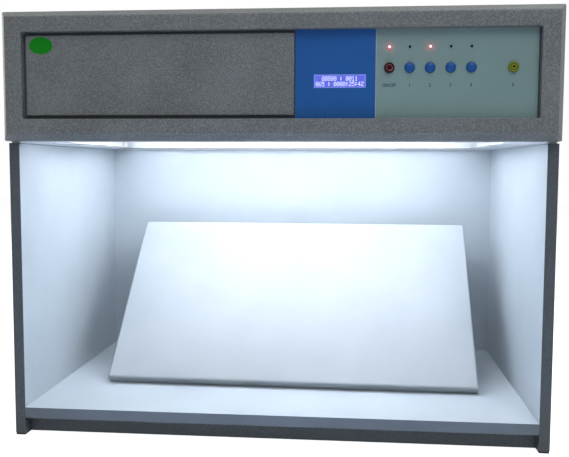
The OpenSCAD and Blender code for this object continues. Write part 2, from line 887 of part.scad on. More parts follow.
module button(i) {
    cap_back = board_y - switch_h - button_travel - 0.6;
    stem_back = board_y - button_travel - 0.9;
    front = len(search(i, ringed_buttons)) > 0 ? ring_front() : dome_front();
    color(button_colours[i - 1]) translate([button_xs[i - 1], 0, button_z])
        rotate([-90, 0, 0]) rotate_extrude($fn = fine)
            polygon(concat(front, [[button_r, cap_back], [stem_r, cap_back], [stem_r, stem_back], [0, stem_back]]));
}

// ---- lamps ----

module reflector() {
    lower = tray_z;
    path = [
        [opening_front - reflector_flange_w, lower], [opening_front, lower],
        [opening_front + reflector_lean, roof_z], [opening_back - reflector_lean, roof_z],
        [opening_back, lower], [opening_back + reflector_flange_w, lower]
    ];
    color("#eef0ee") difference() {
        lengthwise(-bracket_x, bracket_x) polygon(strip(path, reflector_t));
        at_bulbs() translate([0, 0, -over]) cylinder(r = bulb_hole_r, h = 2 * over + reflector_t, $fn = fine);
    }
}

module lamp_brackets() {
    outline = [
        [opening_front, tray_z], [opening_front + reflector_lean, roof_top_z],
        [opening_back - reflector_lean, roof_top_z], [opening_back, tray_z]
    ];
    color("#e4e6e4") both_sides() {
        lengthwise(bracket_x, bracket_x + bracket_t) polygon(outline);
        block(bracket_x, bracket_x + bracket_t + bracket_foot_w, opening_front, opening_back,
              tray_z, tray_z + bracket_t);
    }
}

function lamp_y(i) = opening_back - lamp_back - (lamp_count - i) * lamp_pitch;

module lampholder(y) {
    cavity_x = holder_x + rotor_t + seat;
    difference() {
        lengthwise(holder_x, bracket_x) union() {
            translate([y, lamp_z]) circle(holder_r, $fn = fine);
            translate([y - holder_r + 3, lamp_z]) square([2 * (holder_r - 3), roof_z - lamp_z]);
        }
        rod_x(holder_x - over, cavity_x, y, lamp_z, rotor_r + rotor_clear);
        block(holder_x - over, cavity_x, y - pin_r - 0.4, y + pin_r + 0.4,
              lamp_z - holder_r - over, lamp_z);
    }
}

module lampholders() {
    color("#f2f2ee") both_sides() for (i = [1:lamp_count]) lampholder(lamp_y(i));
}

module lamp_tube(i) {
    reach = tube_l / 2 - cap_l;
    color("#f4f8ff") difference() {
        rod_x(-reach, reach, lamp_y(i), lamp_z, tube_r - 0.3);
        rod_x(-reach - over, reach + over, lamp_y(i), lamp_z, tube_r - 0.3 - glass_t);
    }
}

module lamp_caps(i) {
    reach = tube_l / 2;
    color(zinc) both_sides() translate([0, lamp_y(i), lamp_z]) {
        rotate([0, 90, 0]) translate([0, 0, reach - cap_l]) rotate_extrude($fn = fine)
            polygon([[0, 0], [tube_r, 0], [tube_r, cap_l - 1.2], [tube_r - 1.2, cap_l], [0, cap_l]]);
        for (s = [-1, 1]) rod_x(reach - over, reach + pin_l, s * pin_pitch / 2, 0, pin_r);
    }
}

module lamp_rotors(i) {
    color("#d8d8d2") both_sides() difference() {
        rod_x(holder_x + seat / 2, holder_x + seat / 2 + rotor_t, lamp_y(i), lamp_z, rotor_r);
        block(holder_x - over, tube_l / 2 + pin_l + seat,
              lamp_y(i) - rotor_r - over, lamp_y(i) + rotor_r + over,
              lamp_z - pin_r - 0.1, lamp_z + pin_r + 0.1);
    }
}

// Places its children at each bulb, on the reflector's underside
module at_bulbs() {
    for (i = [0:bulb_count - 1])
        translate([(i - (bulb_count - 1) / 2) * bulb_pitch, bulb_y, roof_z]) children();
}

module bulb_holders() {
    color("#efefe9") at_bulbs() difference() {
        union() {
            translate([0, 0, -bulb_flange_t]) cylinder(r = bulb_hole_r + 3, h = bulb_flange_t, $fn = fine);
            cylinder(r = bulb_hole_r - 0.5, h = bulb_base_l + 8, $fn = fine);
        }
        translate([0, 0, -bulb_flange_t - over])
            cylinder(r = bulb_base_r + 0.15, h = bulb_base_l + bulb_flange_t + over, $fn = fine);
    }
}

module bulb_bases() {
    color(zinc) at_bulbs() {
        translate([0, 0, -bulb_flange_t]) cylinder(r = bulb_base_r, h = bulb_base_l - 1, $fn = fine);
        translate([0, 0, bulb_base_l - bulb_flange_t - 1]) cylinder(r = 3, h = bulb_flange_t + 1, $fn = fine);
    }
}

// Half section of a bulb's glass, from its neck down to its tip
function bulb_line(r, neck) = concat(
    [[neck, -bulb_flange_t], [neck, -bulb_flange_t - 6]],
    arc([0, -bulb_drop], r, bulb_shoulder, -90, 10));

module bulbs() {
    color("#fff6e0", 0.7) at_bulbs() rotate_extrude($fn = fine)
        polygon(concat(bulb_line(bulb_r, bulb_base_r + 1),
                       [for (i = [12:-1:0]) bulb_line(bulb_r - glass_t, bulb_base_r + 1 - glass_t)[i]]));
}

// ---- electrics ----

module ballast(x, y) {
    body_half = ballast_l / 2 - ballast_ear;
    ear_half = ballast_w / 2 - ballast_ear_in;
    translate([x, y, roof_top_z]) {
        lengthwise(-body_half, body_half)
            translate([0, ballast_h / 2]) rounded_rect(ballast_w, ballast_h, ballast_r);
        difference() {
            block(-ballast_l / 2, ballast_l / 2, -ear_half, ear_half, 0, ballast_ear_t);
            for (s = [-1, 1]) translate([s * (ballast_l - ballast_ear) / 2, 0, -over])
                cylinder(r = ballast_hole_r, h = 2 * over + ballast_ear_t, $fn = fine);
        }
    }
}

module ballasts() {
    color("#c9ccd0") both_sides() for (i = [0, 2]) ballast(ballast_x, lamp_y(1) + lamp_pitch * (i + 0.5));
}

module relay_board() {
    y0 = lamp_y(1) + relay_board_inset;
    y1 = y0 + relay_board_d;
    half = relay_board_w / 2;
    top = roof_top_z + relay_post_h + board_t;
    transformer_x = half - transformer_margin;
    transformer_y = y1 - transformer_back;
    terminal_x = -half + terminal_margin;
    terminal_y = y1 - terminal_back;
    color(board_green) block(-half, half, y0, y1, top - board_t, top);
    color(zinc) for (x = [-half + relay_post_in, half - relay_post_in],
                     y = [y0 + relay_post_in, y1 - relay_post_in])
        translate([x, y, roof_top_z]) cylinder(r = relay_post_r, h = relay_post_h, $fn = fine);
    color("#2456a8") for (i = [0:lamp_count - 1]) {
        x = -half + relay_margin + i * relay_pitch;
        block(x, x + relay_w, y0 + relay_front, y0 + relay_front + relay_d, top, top + relay_part_h);
    }
    color("#26282b") block(transformer_x - transformer_w, transformer_x, transformer_y - transformer_d,
                           transformer_y, top, top + transformer_h);
    color("#4a9a4c") block(terminal_x, terminal_x + terminal_w, terminal_y - terminal_d, terminal_y,
                           top, top + terminal_h);
}

module at_inlet_screws() {
    for (s = [-1, 1]) translate([-inlet_x + s * inlet_screw_x, 0, inlet_z]) children();
}

module socket_outline() {
    cut = 5;
    polygon([
        [-socket_w / 2, -socket_h / 2], [socket_w / 2, -socket_h / 2],
        [socket_w / 2, socket_h / 2 - cut], [socket_w / 2 - cut, socket_h / 2],
        [-socket_w / 2 + cut, socket_h / 2], [-socket_w / 2, socket_h / 2 - cut]
    ]);
}

inlet_pin_spots = [[-7, -1.5], [7, -1.5], [0, 2.5]];

// The contact blades, from y0 to y1
module inlet_blades(y0, y1) {
    for (s = inlet_pin_spots)
        block(s[0] - pin_half_w, s[0] + pin_half_w, y0, y1,
              socket_dz + s[1] - pin_half_h, socket_dz + s[1] + pin_half_h);
}

module mains_inlet() {
    color("#1d1e20") translate([-inlet_x, 0, inlet_z]) difference() {
        union() {
            upright(back_y, inlet_face_y) rounded_rect(inlet_flange_w, inlet_flange_h, inlet_flange_r);
            upright(inlet_face_y - inlet_body_d, back_y + fit)
                square([inlet_w, inlet_body_h], center = true);
        }
        upright(inlet_face_y - socket_d, inlet_face_y + over)
            translate([0, socket_dz]) socket_outline();
        block(-drawer_w / 2 - drawer_clear, drawer_w / 2 + drawer_clear,
              inlet_face_y - drawer_d - seat, inlet_face_y + over,
              drawer_dz - drawer_h / 2 - drawer_clear, drawer_dz + drawer_h / 2 + drawer_clear);
        inlet_blades(inlet_face_y - inlet_body_d - over, inlet_face_y - socket_d + over);
        for (s = [-1, 1]) {
            rod_y(s * inlet_screw_x, 0, machine_r + fit, back_y - over, inlet_face_y);
            rod_y(s * inlet_screw_x, 0, inlet_head_r + fit, inlet_face_y - inlet_head_t, inlet_face_y + over);
        }
    }
}

module inlet_pins() {
    color(zinc) translate([-inlet_x, 0, inlet_z])
        inlet_blades(inlet_face_y - inlet_body_d - pin_tail, inlet_face_y - socket_d + pin_reach);
}

module fuse_drawer() {
    color("#26272a") translate([-inlet_x, 0, inlet_z + drawer_dz]) difference() {
        union() {
            block(-drawer_w / 2, drawer_w / 2, inlet_face_y - drawer_d, inlet_face_y + fit,
                  -drawer_h / 2, drawer_h / 2);
            block(-drawer_w / 2 - drawer_lip, drawer_w / 2 + drawer_lip, inlet_face_y + fit,
                  inlet_face_y + drawer_face_t, -drawer_h / 2 - drawer_lip, drawer_h / 2 + drawer_lip);
        }
        block(-trough_w / 2, trough_w / 2, inlet_face_y - drawer_d + drawer_end, inlet_face_y - drawer_front,
              -drawer_h / 2 + drawer_bottom, drawer_h / 2 + over);
        block(-grip_w / 2, grip_w / 2, inlet_face_y + drawer_face_t - grip_d,
              inlet_face_y + drawer_face_t + over, drawer_h / 2 - grip_h, drawer_h / 2 + over);
    }
}

module fuse() {
    rear = inlet_face_y - drawer_d + drawer_end + fuse_clear;
    color("#d9dde0") translate([-inlet_x, 0, inlet_z + drawer_dz - drawer_h / 2 + drawer_bottom + fuse_r])
        rod_y(0, 0, fuse_r, rear, rear + fuse_l);
}

// ---- viewing stand ----

// Stands its children on the chamber floor, Y = 0 at the board's front edge
module on_floor() {
    translate([stand_x, front_y + stand_y, floor_top_z + stand_clear]) rotate([0, 0, stand_turn]) children();
}

module stand_board() {
    color("#cdd6dd") on_floor() translate([0, 0, edge_drop]) rotate([slope, 0, 0])
        translate([0, stand_l / 2, 0]) rotate([180, 0, 0])
            folded_pan(stand_w, stand_l, stand_edge, stand_r, stand_t);
}

module stand_leg() {
    under = edge_drop - stand_t / cos(slope);
    top_y = leg_h - under;
    flange = leg_flange_w * cos(slope);
    path = [
        [top_y - leg_flange_w, 0], [top_y, 0], [top_y, leg_h], [top_y - flange, leg_h - flange]
    ];
    color("#cdd6dd") on_floor() lengthwise(-leg_w / 2, leg_w / 2) polygon(strip(path, stand_t));
}

mirror([1, 0, 0]) side_panel();  // left_side_panel
side_panel();  // right_side_panel
back_panel();
floor_panel();
front_plinth();
foot_strips();
panel_screws();
seal_strips();
header_base();
header_front_frame();
header_cover();
header_back_panel();
header_screws();
control_chassis();
chassis_nuts();
blank_panel();
control_plate();
control_overlay();
display_overlay();
lcd_window();
lcd_module();
lcd_glass();
control_board();
switch_housings();
standoffs();
leds_on();
leds_off();
reflector();
lamp_brackets();
lampholders();
ballasts();
relay_board();
bulb_holders();
bulb_bases();
bulbs();
mains_inlet();
inlet_pins();
fuse_drawer();
fuse();
for (i = [1:6]) button(i);
for (i = [1:4]) lamp_tube(i);
for (i = [1:4]) lamp_caps(i);
for (i = [1:4]) lamp_rotors(i);
stand_board();
stand_leg();
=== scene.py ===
import json
import math

import bmesh
import bpy
from mathutils import Matrix, Vector

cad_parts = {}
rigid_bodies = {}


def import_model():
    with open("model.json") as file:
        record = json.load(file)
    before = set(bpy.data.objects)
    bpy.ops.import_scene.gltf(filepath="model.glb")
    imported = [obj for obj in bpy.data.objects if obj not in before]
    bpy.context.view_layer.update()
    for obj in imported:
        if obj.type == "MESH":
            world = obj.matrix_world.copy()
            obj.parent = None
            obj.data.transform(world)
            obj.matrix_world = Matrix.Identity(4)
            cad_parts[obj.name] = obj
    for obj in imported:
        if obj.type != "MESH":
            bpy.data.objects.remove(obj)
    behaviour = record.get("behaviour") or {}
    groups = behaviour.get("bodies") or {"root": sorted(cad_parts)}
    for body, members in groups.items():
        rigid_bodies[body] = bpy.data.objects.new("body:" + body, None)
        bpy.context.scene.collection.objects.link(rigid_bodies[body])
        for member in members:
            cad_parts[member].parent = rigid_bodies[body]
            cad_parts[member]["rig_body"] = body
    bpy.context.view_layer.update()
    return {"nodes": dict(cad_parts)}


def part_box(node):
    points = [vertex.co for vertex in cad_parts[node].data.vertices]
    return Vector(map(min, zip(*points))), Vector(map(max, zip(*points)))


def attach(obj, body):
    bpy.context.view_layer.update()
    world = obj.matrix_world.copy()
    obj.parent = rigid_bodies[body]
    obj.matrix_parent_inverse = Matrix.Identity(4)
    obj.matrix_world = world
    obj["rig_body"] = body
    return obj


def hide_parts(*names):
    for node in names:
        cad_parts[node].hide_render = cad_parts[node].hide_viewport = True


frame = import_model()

scene = bpy.context.scene
mm = 0.001
cabinetBody = "cabinet"
print("frame loaded:", len(frame["nodes"]), "nodes")


def linearColour(code):
    # sRGB hex to linear, with alpha
    parts = [int(code[i:i + 2], 16) / 255 for i in (1, 3, 5)]
    return [p / 12.92 if p <= 0.04045 else ((p + 0.055) / 1.055) ** 2.4 for p in parts] + [1.0]


def addNode(tree, kind, inputs=None, **settings):
    # one node with its settings; each input is a plain value or the socket that feeds it
    made = tree.nodes.new(kind)
    for name, value in settings.items():
        setattr(made, name, value)
    for key, value in (inputs or {}).items():
        if isinstance(value, bpy.types.NodeSocket):
            tree.links.new(value, made.inputs[key])
        else:
            made.inputs[key].default_value = value
    return made


def startFinish(name):
    # an empty material with millimetre coordinates on the object, so that a pattern's scale is
    # 1 over its real size
    material = bpy.data.materials.new(name)
    material.use_nodes = True
    tree = material.node_tree
    tree.nodes.clear()
    coords = addNode(tree, "ShaderNodeTexCoord")
    place = addNode(tree, "ShaderNodeVectorMath", {0: coords.outputs["Object"], 3: 1 / mm},
                    operation="SCALE")
    return material, tree, place.outputs[0]


def endFinish(tree, surface):
    addNode(tree, "ShaderNodeOutputMaterial", {0: surface.outputs[0]})


paintIndex, plasticIndex = 1.5, 1.49  # refractive index of the paints and of the mouldings
hammerLook = {"pebbleSoftness": 0.45, "teethPerPebble": 1.7, "toothShare": 0.5, "cloudSize": 70,
              "cloudShare": 0.25, "deepAt": 0.3, "lightAt": 0.62, "sheenSwing": 0.07}


def hammerPaint(name, deep, light, grain, relief, roughness, gloss=0.5):
    # stoved texture enamel: pebbles of the grain's size, a finer tooth on them and slow clouds
    # of tone; the colour darkens in the hollows and lightens on the raised grain along with the
    # bump, painted shade and painted highlight
    material, tree, place = startFinish(name)
    look = hammerLook
    pebbles = addNode(tree, "ShaderNodeTexVoronoi",
                      {"Vector": place, "Scale": 1 / grain, "Smoothness": look["pebbleSoftness"]},
                      feature="SMOOTH_F1")
    tooth = addNode(tree, "ShaderNodeTexNoise",
                    {"Vector": place, "Scale": look["teethPerPebble"] / grain, "Detail": 2.0})
    clouds = addNode(tree, "ShaderNodeTexNoise",
                     {"Vector": place, "Scale": 1 / look["cloudSize"], "Detail": 2.0})
    surfaceHeight = addNode(tree, "ShaderNodeMix",
                            {0: look["toothShare"], 2: pebbles.outputs["Distance"],
                             3: tooth.outputs["Fac"]}, data_type="FLOAT")
    tone = addNode(tree, "ShaderNodeMix",
                   {0: look["cloudShare"], 2: surfaceHeight.outputs[0], 3: clouds.outputs["Fac"]},
                   data_type="FLOAT")
    # colour follows the relief: painted shade in the hollows, painted highlight on the raised grain
    depth = addNode(tree, "ShaderNodeMapRange",
                    {"Value": tone.outputs[0], "From Min": look["deepAt"],
                     "From Max": look["lightAt"]})
    colour = addNode(tree, "ShaderNodeMix",
                     {0: depth.outputs[0], 6: linearColour(deep), 7: linearColour(light)},
                     data_type="RGBA")
    bump = addNode(tree, "ShaderNodeBump",
                   {"Height": surfaceHeight.outputs[0], "Distance": relief * mm})
    sheen = addNode(tree, "ShaderNodeMapRange",
                    {"Value": clouds.outputs["Fac"], "To Min": roughness - look["sheenSwing"],
                     "To Max": roughness + look["sheenSwing"]})
    endFinish(tree, addNode(tree, "ShaderNodeBsdfPrincipled",
                            {"Base Color": colour.outputs[2], "Roughness": sheen.outputs[0],
                             "Normal": bump.outputs[0], "IOR": paintIndex,
                             "Specular IOR Level": gloss}))
    return material


sprayLook = {"deepAt": 0.35, "lightAt": 0.65, "sheenSwing": 0.06}


def flatPaint(name, deep, light, roughness, peel=1.4, relief=0.02, clouds=110, gloss=0.5):
    # sprayed paint or print: a faint orange peel and a slow drift of tone over a hand's width
    material, tree, place = startFinish(name)
    look = sprayLook
    drift = addNode(tree, "ShaderNodeTexNoise",
                    {"Vector": place, "Scale": 1 / clouds, "Detail": 4.0})
    skin = addNode(tree, "ShaderNodeTexNoise", {"Vector": place, "Scale": 1 / peel, "Detail": 2.0})
    depth = addNode(tree, "ShaderNodeMapRange",
                    {"Value": drift.outputs["Fac"], "From Min": look["deepAt"],
                     "From Max": look["lightAt"]})
    colour = addNode(tree, "ShaderNodeMix",
                     {0: depth.outputs[0], 6: linearColour(deep), 7: linearColour(light)},
                     data_type="RGBA")
    bump = addNode(tree, "ShaderNodeBump",
                   {"Height": skin.outputs["Fac"], "Distance": relief * mm})
    sheen = addNode(tree, "ShaderNodeMapRange",
                    {"Value": drift.outputs["Fac"], "To Min": roughness - look["sheenSwing"],
                     "To Max": roughness + look["sheenSwing"]})
    endFinish(tree, addNode(tree, "ShaderNodeBsdfPrincipled",
                            {"Base Color": colour.outputs[2], "Roughness": sheen.outputs[0],
                             "Normal": bump.outputs[0], "IOR": paintIndex,
                             "Specular IOR Level": gloss}))
    return material


def mouldedPlastic(name, deep, light, roughness, coat=0.0, grain=0.6, relief=0.008, gloss=0.5):
    # injection moulding: even colour with the spark-eroded grain of its tool
    material, tree, place = startFinish(name)
    tooth = addNode(tree, "ShaderNodeTexNoise",
                    {"Vector": place, "Scale": 1 / grain, "Detail": 3.0})
    colour = addNode(tree, "ShaderNodeMix",
                     {0: tooth.outputs["Fac"], 6: linearColour(deep), 7: linearColour(light)},
                     data_type="RGBA")
    bump = addNode(tree, "ShaderNodeBump",
                   {"Height": tooth.outputs["Fac"], "Distance": relief * mm})
    endFinish(tree, addNode(tree, "ShaderNodeBsdfPrincipled",
                            {"Base Color": colour.outputs[2], "Roughness": roughness,
                             "Normal": bump.outputs[0], "IOR": plasticIndex,
                             "Specular IOR Level": gloss, "Coat Weight": coat}))
    return material


def workedMetal(name, deep, light, roughness, marks, along=(1, 1, 1), sheenSwing=0.1):
    # rolled, plated or drawn metal: fine marks, drawn out along the axis whose number is small
    material, tree, place = startFinish(name)
    drawn = addNode(tree, "ShaderNodeMapping", {"Vector": place, "Scale": along})
    lines = addNode(tree, "ShaderNodeTexNoise",
                    {"Vector": drawn.outputs[0], "Scale": 1 / marks, "Detail": 3.0})
    colour = addNode(tree, "ShaderNodeMix",
                     {0: lines.outputs["Fac"], 6: linearColour(deep), 7: linearColour(light)},
                     data_type="RGBA")
    sheen = addNode(tree, "ShaderNodeMapRange",
                    {"Value": lines.outputs["Fac"], "To Min": roughness - sheenSwing,
                     "To Max": roughness + sheenSwing})
    endFinish(tree, addNode(tree, "ShaderNodeBsdfPrincipled",
                            {"Base Color": colour.outputs[2], "Metallic": 1.0,
                             "Roughness": sheen.outputs[0]}))
    return material


glowLook = {"swing": 0.1, "rimUpTo": -0.35, "coreFrom": -0.95}


def glowing(name, body, core, rim, strength, patch):
    # something lit from inside: the glow wanders a little over patches of the given size, and is
    # the core colour where the piece faces forwards and the rim colour round its edge
    material, tree, place = startFinish(name)
    look = glowLook
    wander = addNode(tree, "ShaderNodeTexNoise",
                     {"Vector": place, "Scale": 1 / patch, "Detail": 1.0})
    level = addNode(tree, "ShaderNodeMapRange",
                    {"Value": wander.outputs["Fac"], "To Min": strength * (1 - look["swing"]),
                     "To Max": strength * (1 + look["swing"])})
    geometry = addNode(tree, "ShaderNodeNewGeometry")
    facing = addNode(tree, "ShaderNodeSeparateXYZ", {0: geometry.outputs["Normal"]})
    front = addNode(tree, "ShaderNodeMapRange",
                    {"Value": facing.outputs[1], "From Min": look["rimUpTo"],
                     "From Max": look["coreFrom"]})
    glow = addNode(tree, "ShaderNodeMix",
                   {0: front.outputs[0], 6: linearColour(rim), 7: linearColour(core)},
                   data_type="RGBA")
    endFinish(tree, addNode(tree, "ShaderNodeBsdfPrincipled",
                            {"Base Color": linearColour(body), "Roughness": 0.25,
                             "Emission Color": glow.outputs[2],
                             "Emission Strength": level.outputs[0]}))
    return material


def edgeLitScreen(name, middle, half, look):
    # a liquid crystal panel lit from its edges: an even blue that brightens near its border
    material, tree, place = startFinish(name)
    centred = addNode(tree, "ShaderNodeMapping",
                      {"Vector": place, "Location": [-c for c in middle]})
    away = addNode(tree, "ShaderNodeVectorMath", {0: centred.outputs[0]}, operation="ABSOLUTE")
    axes = addNode(tree, "ShaderNodeSeparateXYZ", {0: away.outputs[0]})
    sideways = addNode(tree, "ShaderNodeMapRange",
                       {"Value": axes.outputs[0], "From Min": half[0] - look["reach"],
                        "From Max": half[0]})
    upwards = addNode(tree, "ShaderNodeMapRange",
                      {"Value": axes.outputs[2], "From Min": half[2] - look["reach"],
                       "From Max": half[2]})
    border = addNode(tree, "ShaderNodeMath", {0: sideways.outputs[0], 1: upwards.outputs[0]},
                     operation="MAXIMUM")
    unevenness = addNode(tree, "ShaderNodeTexNoise",
                         {"Vector": place, "Scale": 1 / look["patch"], "Detail": 1.0})
    level = addNode(tree, "ShaderNodeMapRange",
                    {"Value": unevenness.outputs["Fac"],
                     "To Min": look["strength"] * (1 - look["swing"]),
                     "To Max": look["strength"] * (1 + look["swing"])})
    glow = addNode(tree, "ShaderNodeMix",
                   {0: border.outputs[0], 6: linearColour(look["core"]),
                    7: linearColour(look["rim"])}, data_type="RGBA")
    endFinish(tree, addNode(tree, "ShaderNodeBsdfPrincipled",
                            {"Base Color": linearColour(look["glass"]), "Roughness": 0.3,
                             "Specular IOR Level": 0.2, "Emission Color": glow.outputs[2],
                             "Emission Strength": level.outputs[0]}))
    return material


wallLook = {"smearSize": 9, "smear": 0.06, "glossFaceOn": 0.035, "steepness": 5.0}


def clearWall(name, tint, roughness):
    # a thin clear wall: seen through face on, with a gloss that rises towards its edges
    material, tree, place = startFinish(name)
    look = wallLook
    smear = addNode(tree, "ShaderNodeTexNoise",
                    {"Vector": place, "Scale": 1 / look["smearSize"], "Detail": 2.0})
    sheen = addNode(tree, "ShaderNodeMapRange",
                    {"Value": smear.outputs["Fac"], "To Min": roughness,
                     "To Max": roughness + look["smear"]})
    through = addNode(tree, "ShaderNodeBsdfTransparent", {"Color": linearColour(tint)})
    gloss = addNode(tree, "ShaderNodeBsdfGlossy", {"Roughness": sheen.outputs[0]})
    # the gloss counts alike on both faces of the wall, so its far face never mirrors everything
    weight = addNode(tree, "ShaderNodeLayerWeight", {"Blend": 0.5})
    grazing = addNode(tree, "ShaderNodeMath",
                      {0: weight.outputs["Facing"], 1: look["steepness"]}, operation="POWER")
    edge = addNode(tree, "ShaderNodeMapRange",
                   {"Value": grazing.outputs[0], "To Min": look["glossFaceOn"], "To Max": 1.0})
    endFinish(tree, addNode(tree, "ShaderNodeMixShader",
                            {0: edge.outputs[0], 1: through.outputs[0], 2: gloss.outputs[0]}))
    return material


# stoved hammer enamel on sheet steel: pebbled, with painted highlights on its raised grain and
# painted shade in its hollows; the grain is finer on the real steel and is drawn at 2.1 mm so
# that it shows
housingEnamel = hammerPaint("stoved_hammer_enamel_on_steel", "#484c4e", "#707576", grain=2.1,
                            relief=0.6, roughness=0.38, gloss=0.35)
# the carrier behind the panels is drawn in a dull dark grey so that the gaps round them read
# as dark lines: painted shade in the gaps
chassisGapShade = flatPaint("dull_dark_grey_painted_gap_shade", "#4c5054", "#555a5e", roughness=0.6,
                          gloss=0.15)
# sprayed texture enamel on board: darker, flatter and a little blue, its grain coarsened too;
# the blue is a painted tint of the booth's bluish light, and the grain carries painted shade and
# highlight like the housing's
boardEnamel = hammerPaint("sprayed_texture_enamel_on_board", "#393f44", "#4b5359", grain=2.2,
                          relief=0.2, roughness=0.5, gloss=0.3)
# the floor board's front edge has a smoother banding, drawn lighter and bluer than the side
# edges; its blue is a painted tint of the booth's bluish light
edgeBanding = flatPaint("grey_edge_banding_with_painted_booth_light", "#525d69", "#5a6672", roughness=0.42,
                        peel=2.4, relief=0.03, gloss=0.4)
# matt booth paint, rolled on board: neutral and even, so that it throws the lamps' light about
chamberPaint = flatPaint("matt_neutral_grey_paint_on_board", "#a9b2b9", "#afb8bf", roughness=0.55)
# powder coat on sheet steel: a shade darker than the booth, with a fine orange peel
standPaint = flatPaint("matt_grey_powder_coat", "#9fa6ac", "#a5acb2", roughness=0.46, relief=0.035)
# white gloss enamel: bright and nearly even, on the reflector and the chamber's ceiling
reflectorEnamel = flatPaint("white_gloss_enamel_on_steel", "#e9ecec", "#f2f4f4", roughness=0.28)
# polyester films printed on their backs: even colour under a satin face
greyFilm = flatPaint("grey_screen_printed_polyester", "#728b8a", "#77908f", roughness=0.4, peel=0.6,
                     gloss=0.25)
blueFilm = flatPaint("blue_screen_printed_polyester", "#165091", "#1a5698", roughness=0.38,
                     peel=0.6, gloss=0.2)
# screen printing ink and sticker vinyl: flat colours with hardly any shine
captionInk = flatPaint("dark_blue_printing_ink", "#1c3358", "#213a60", roughness=0.5, gloss=0.2)
ovalVinyl = flatPaint("green_sticker_vinyl", "#02770d", "#058014", roughness=0.4, gloss=0.15)
# rubbers: dull, the black one with a skin as fine as its tool's, the white one with open cells
stripRubber = mouldedPlastic("black_extruded_rubber", "#17181a", "#212225", roughness=0.75)
gasketFoam = mouldedPlastic("white_cellular_rubber", "#dfe3e6", "#e8ebed", roughness=0.85,
                            grain=1.2)
# button caps: moulded ABS with a soft shine; the red cap's pale ring and deep centre and the
# yellow cap's dark centre are painted reflections of their dished tops
redCap = mouldedPlastic("dark_red_moulded_abs", "#260406", "#2e0609", roughness=0.3, gloss=0.12)
redDishReflection = mouldedPlastic("deep_red_painted_reflection_in_dish", "#330207", "#3a030a", roughness=0.4, gloss=0.06)
redReflectionRing = mouldedPlastic("pale_red_painted_reflection_ring", "#935a5c", "#9f6668", roughness=0.35, gloss=0.2)
blueCap = mouldedPlastic("blue_moulded_abs", "#0b488b", "#105093", roughness=0.3, gloss=0.2)
yellowCap = mouldedPlastic("yellow_green_moulded_abs", "#697302", "#768004", roughness=0.3,
                           gloss=0.2)
yellowDishReflection = mouldedPlastic("dark_painted_reflection_in_dish", "#0d0e02", "#131503", roughness=0.4, gloss=0.15)
# technical mouldings of nylon and polycarbonate, the boards' lacquer and the unlit lenses
blackPlastic = mouldedPlastic("black_moulded_nylon", "#141517", "#1e1f22", roughness=0.4, grain=1.0)
whitePlastic = mouldedPlastic("white_moulded_polycarbonate", "#e3e3dc", "#ecece6", roughness=0.35)
boardLacquer = mouldedPlastic("green_solder_lacquer", "#1a4f31", "#22613c", roughness=0.3, coat=0.2,
                              grain=2.0)
darkLens = mouldedPlastic("unlit_red_epoxy_lens", "#060102", "#0b0203", roughness=0.3, gloss=0.05)
# metals: plated and rolled, with the marks of the work drawn along it; the front panel's plate
# is drawn in a darker grey so that its edges in the gaps beside the films read dark, painted
# shade
zincSteel = workedMetal("zinc_plated_steel", "#aeb2b6", "#c3c7ca", roughness=0.38, marks=2.5)
satinAluminium = workedMetal("rolled_satin_aluminium", "#c6c8cb", "#d8dadc", roughness=0.36,
                             marks=1.2, along=(0.08, 1, 1))
plateGapShade = workedMetal("grey_metal_painted_gap_shade", "#868e93", "#949ca0", roughness=0.5,
                           marks=1.2, along=(0.08, 1, 1))
contactBrass = workedMetal("nickel_plated_brass", "#c4b78e", "#d5c8a0", roughness=0.3, marks=1.5)
# clear walls: a moulded window and blown glass, seen through with a light gloss
clearWindow = clearWall("clear_polycarbonate_window", "#f3f4ff", roughness=0.04)
bulbGlass = clearWall("clear_blown_glass", "#fbfaf4", roughness=0.02)
# what glows: a lens brighter where it faces forwards, phosphor powder a cold even white
litLens = glowing("lit_red_epoxy_lens", "#ff6a6a", "#ffe2e4", "#f04a52", strength=4.0, patch=4)
litDot = glowing("lit_display_dot", "#e8ecff", "#f4f6ff", "#f4f6ff", strength=1.0, patch=6)
litPhosphor = glowing("lit_phosphor_powder_in_glass", "#f4f6f8", "#f1f5ff", "#f1f5ff",
                      strength=25.5, patch=90)
agedPhosphor = glowing("lit_phosphor_of_an_older_tube", "#f4f6f8", "#f1f5ff", "#f1f5ff",
                       strength=6.0, patch=90)
darkPhosphor = flatPaint("unlit_phosphor_powder_in_glass", "#e6e8e8", "#f0f2f2", roughness=0.22,
                         clouds=40)
print("finishes made:", len(bpy.data.materials))

# points nearer than weld mm are joined, faces that turn by less than flatUpTo degrees are one,
# and shading folds from creaseFrom degrees
meshLook = {"weld": 0.002, "flatUpTo": 0.6, "creaseFrom": 38}
bendAngle, cornerAngle, hemAngle = 25, 60, 75  # the degrees that such an edge turns by, at least
squareOn = 0.9  # a face looks a given way above this cosine
closeBy = 0.01  # mm within which a point lies on a face


def mergedMesh(node):
    # the node's loose triangles joined into whole faces
    bm = bmesh.new()
    bm.from_mesh(frame["nodes"][node].data)
    bmesh.ops.remove_doubles(bm, verts=bm.verts, dist=meshLook["weld"] * mm)
    bmesh.ops.dissolve_limit(bm, angle_limit=math.radians(meshLook["flatUpTo"]), verts=bm.verts,
                             edges=bm.edges)
    return bm


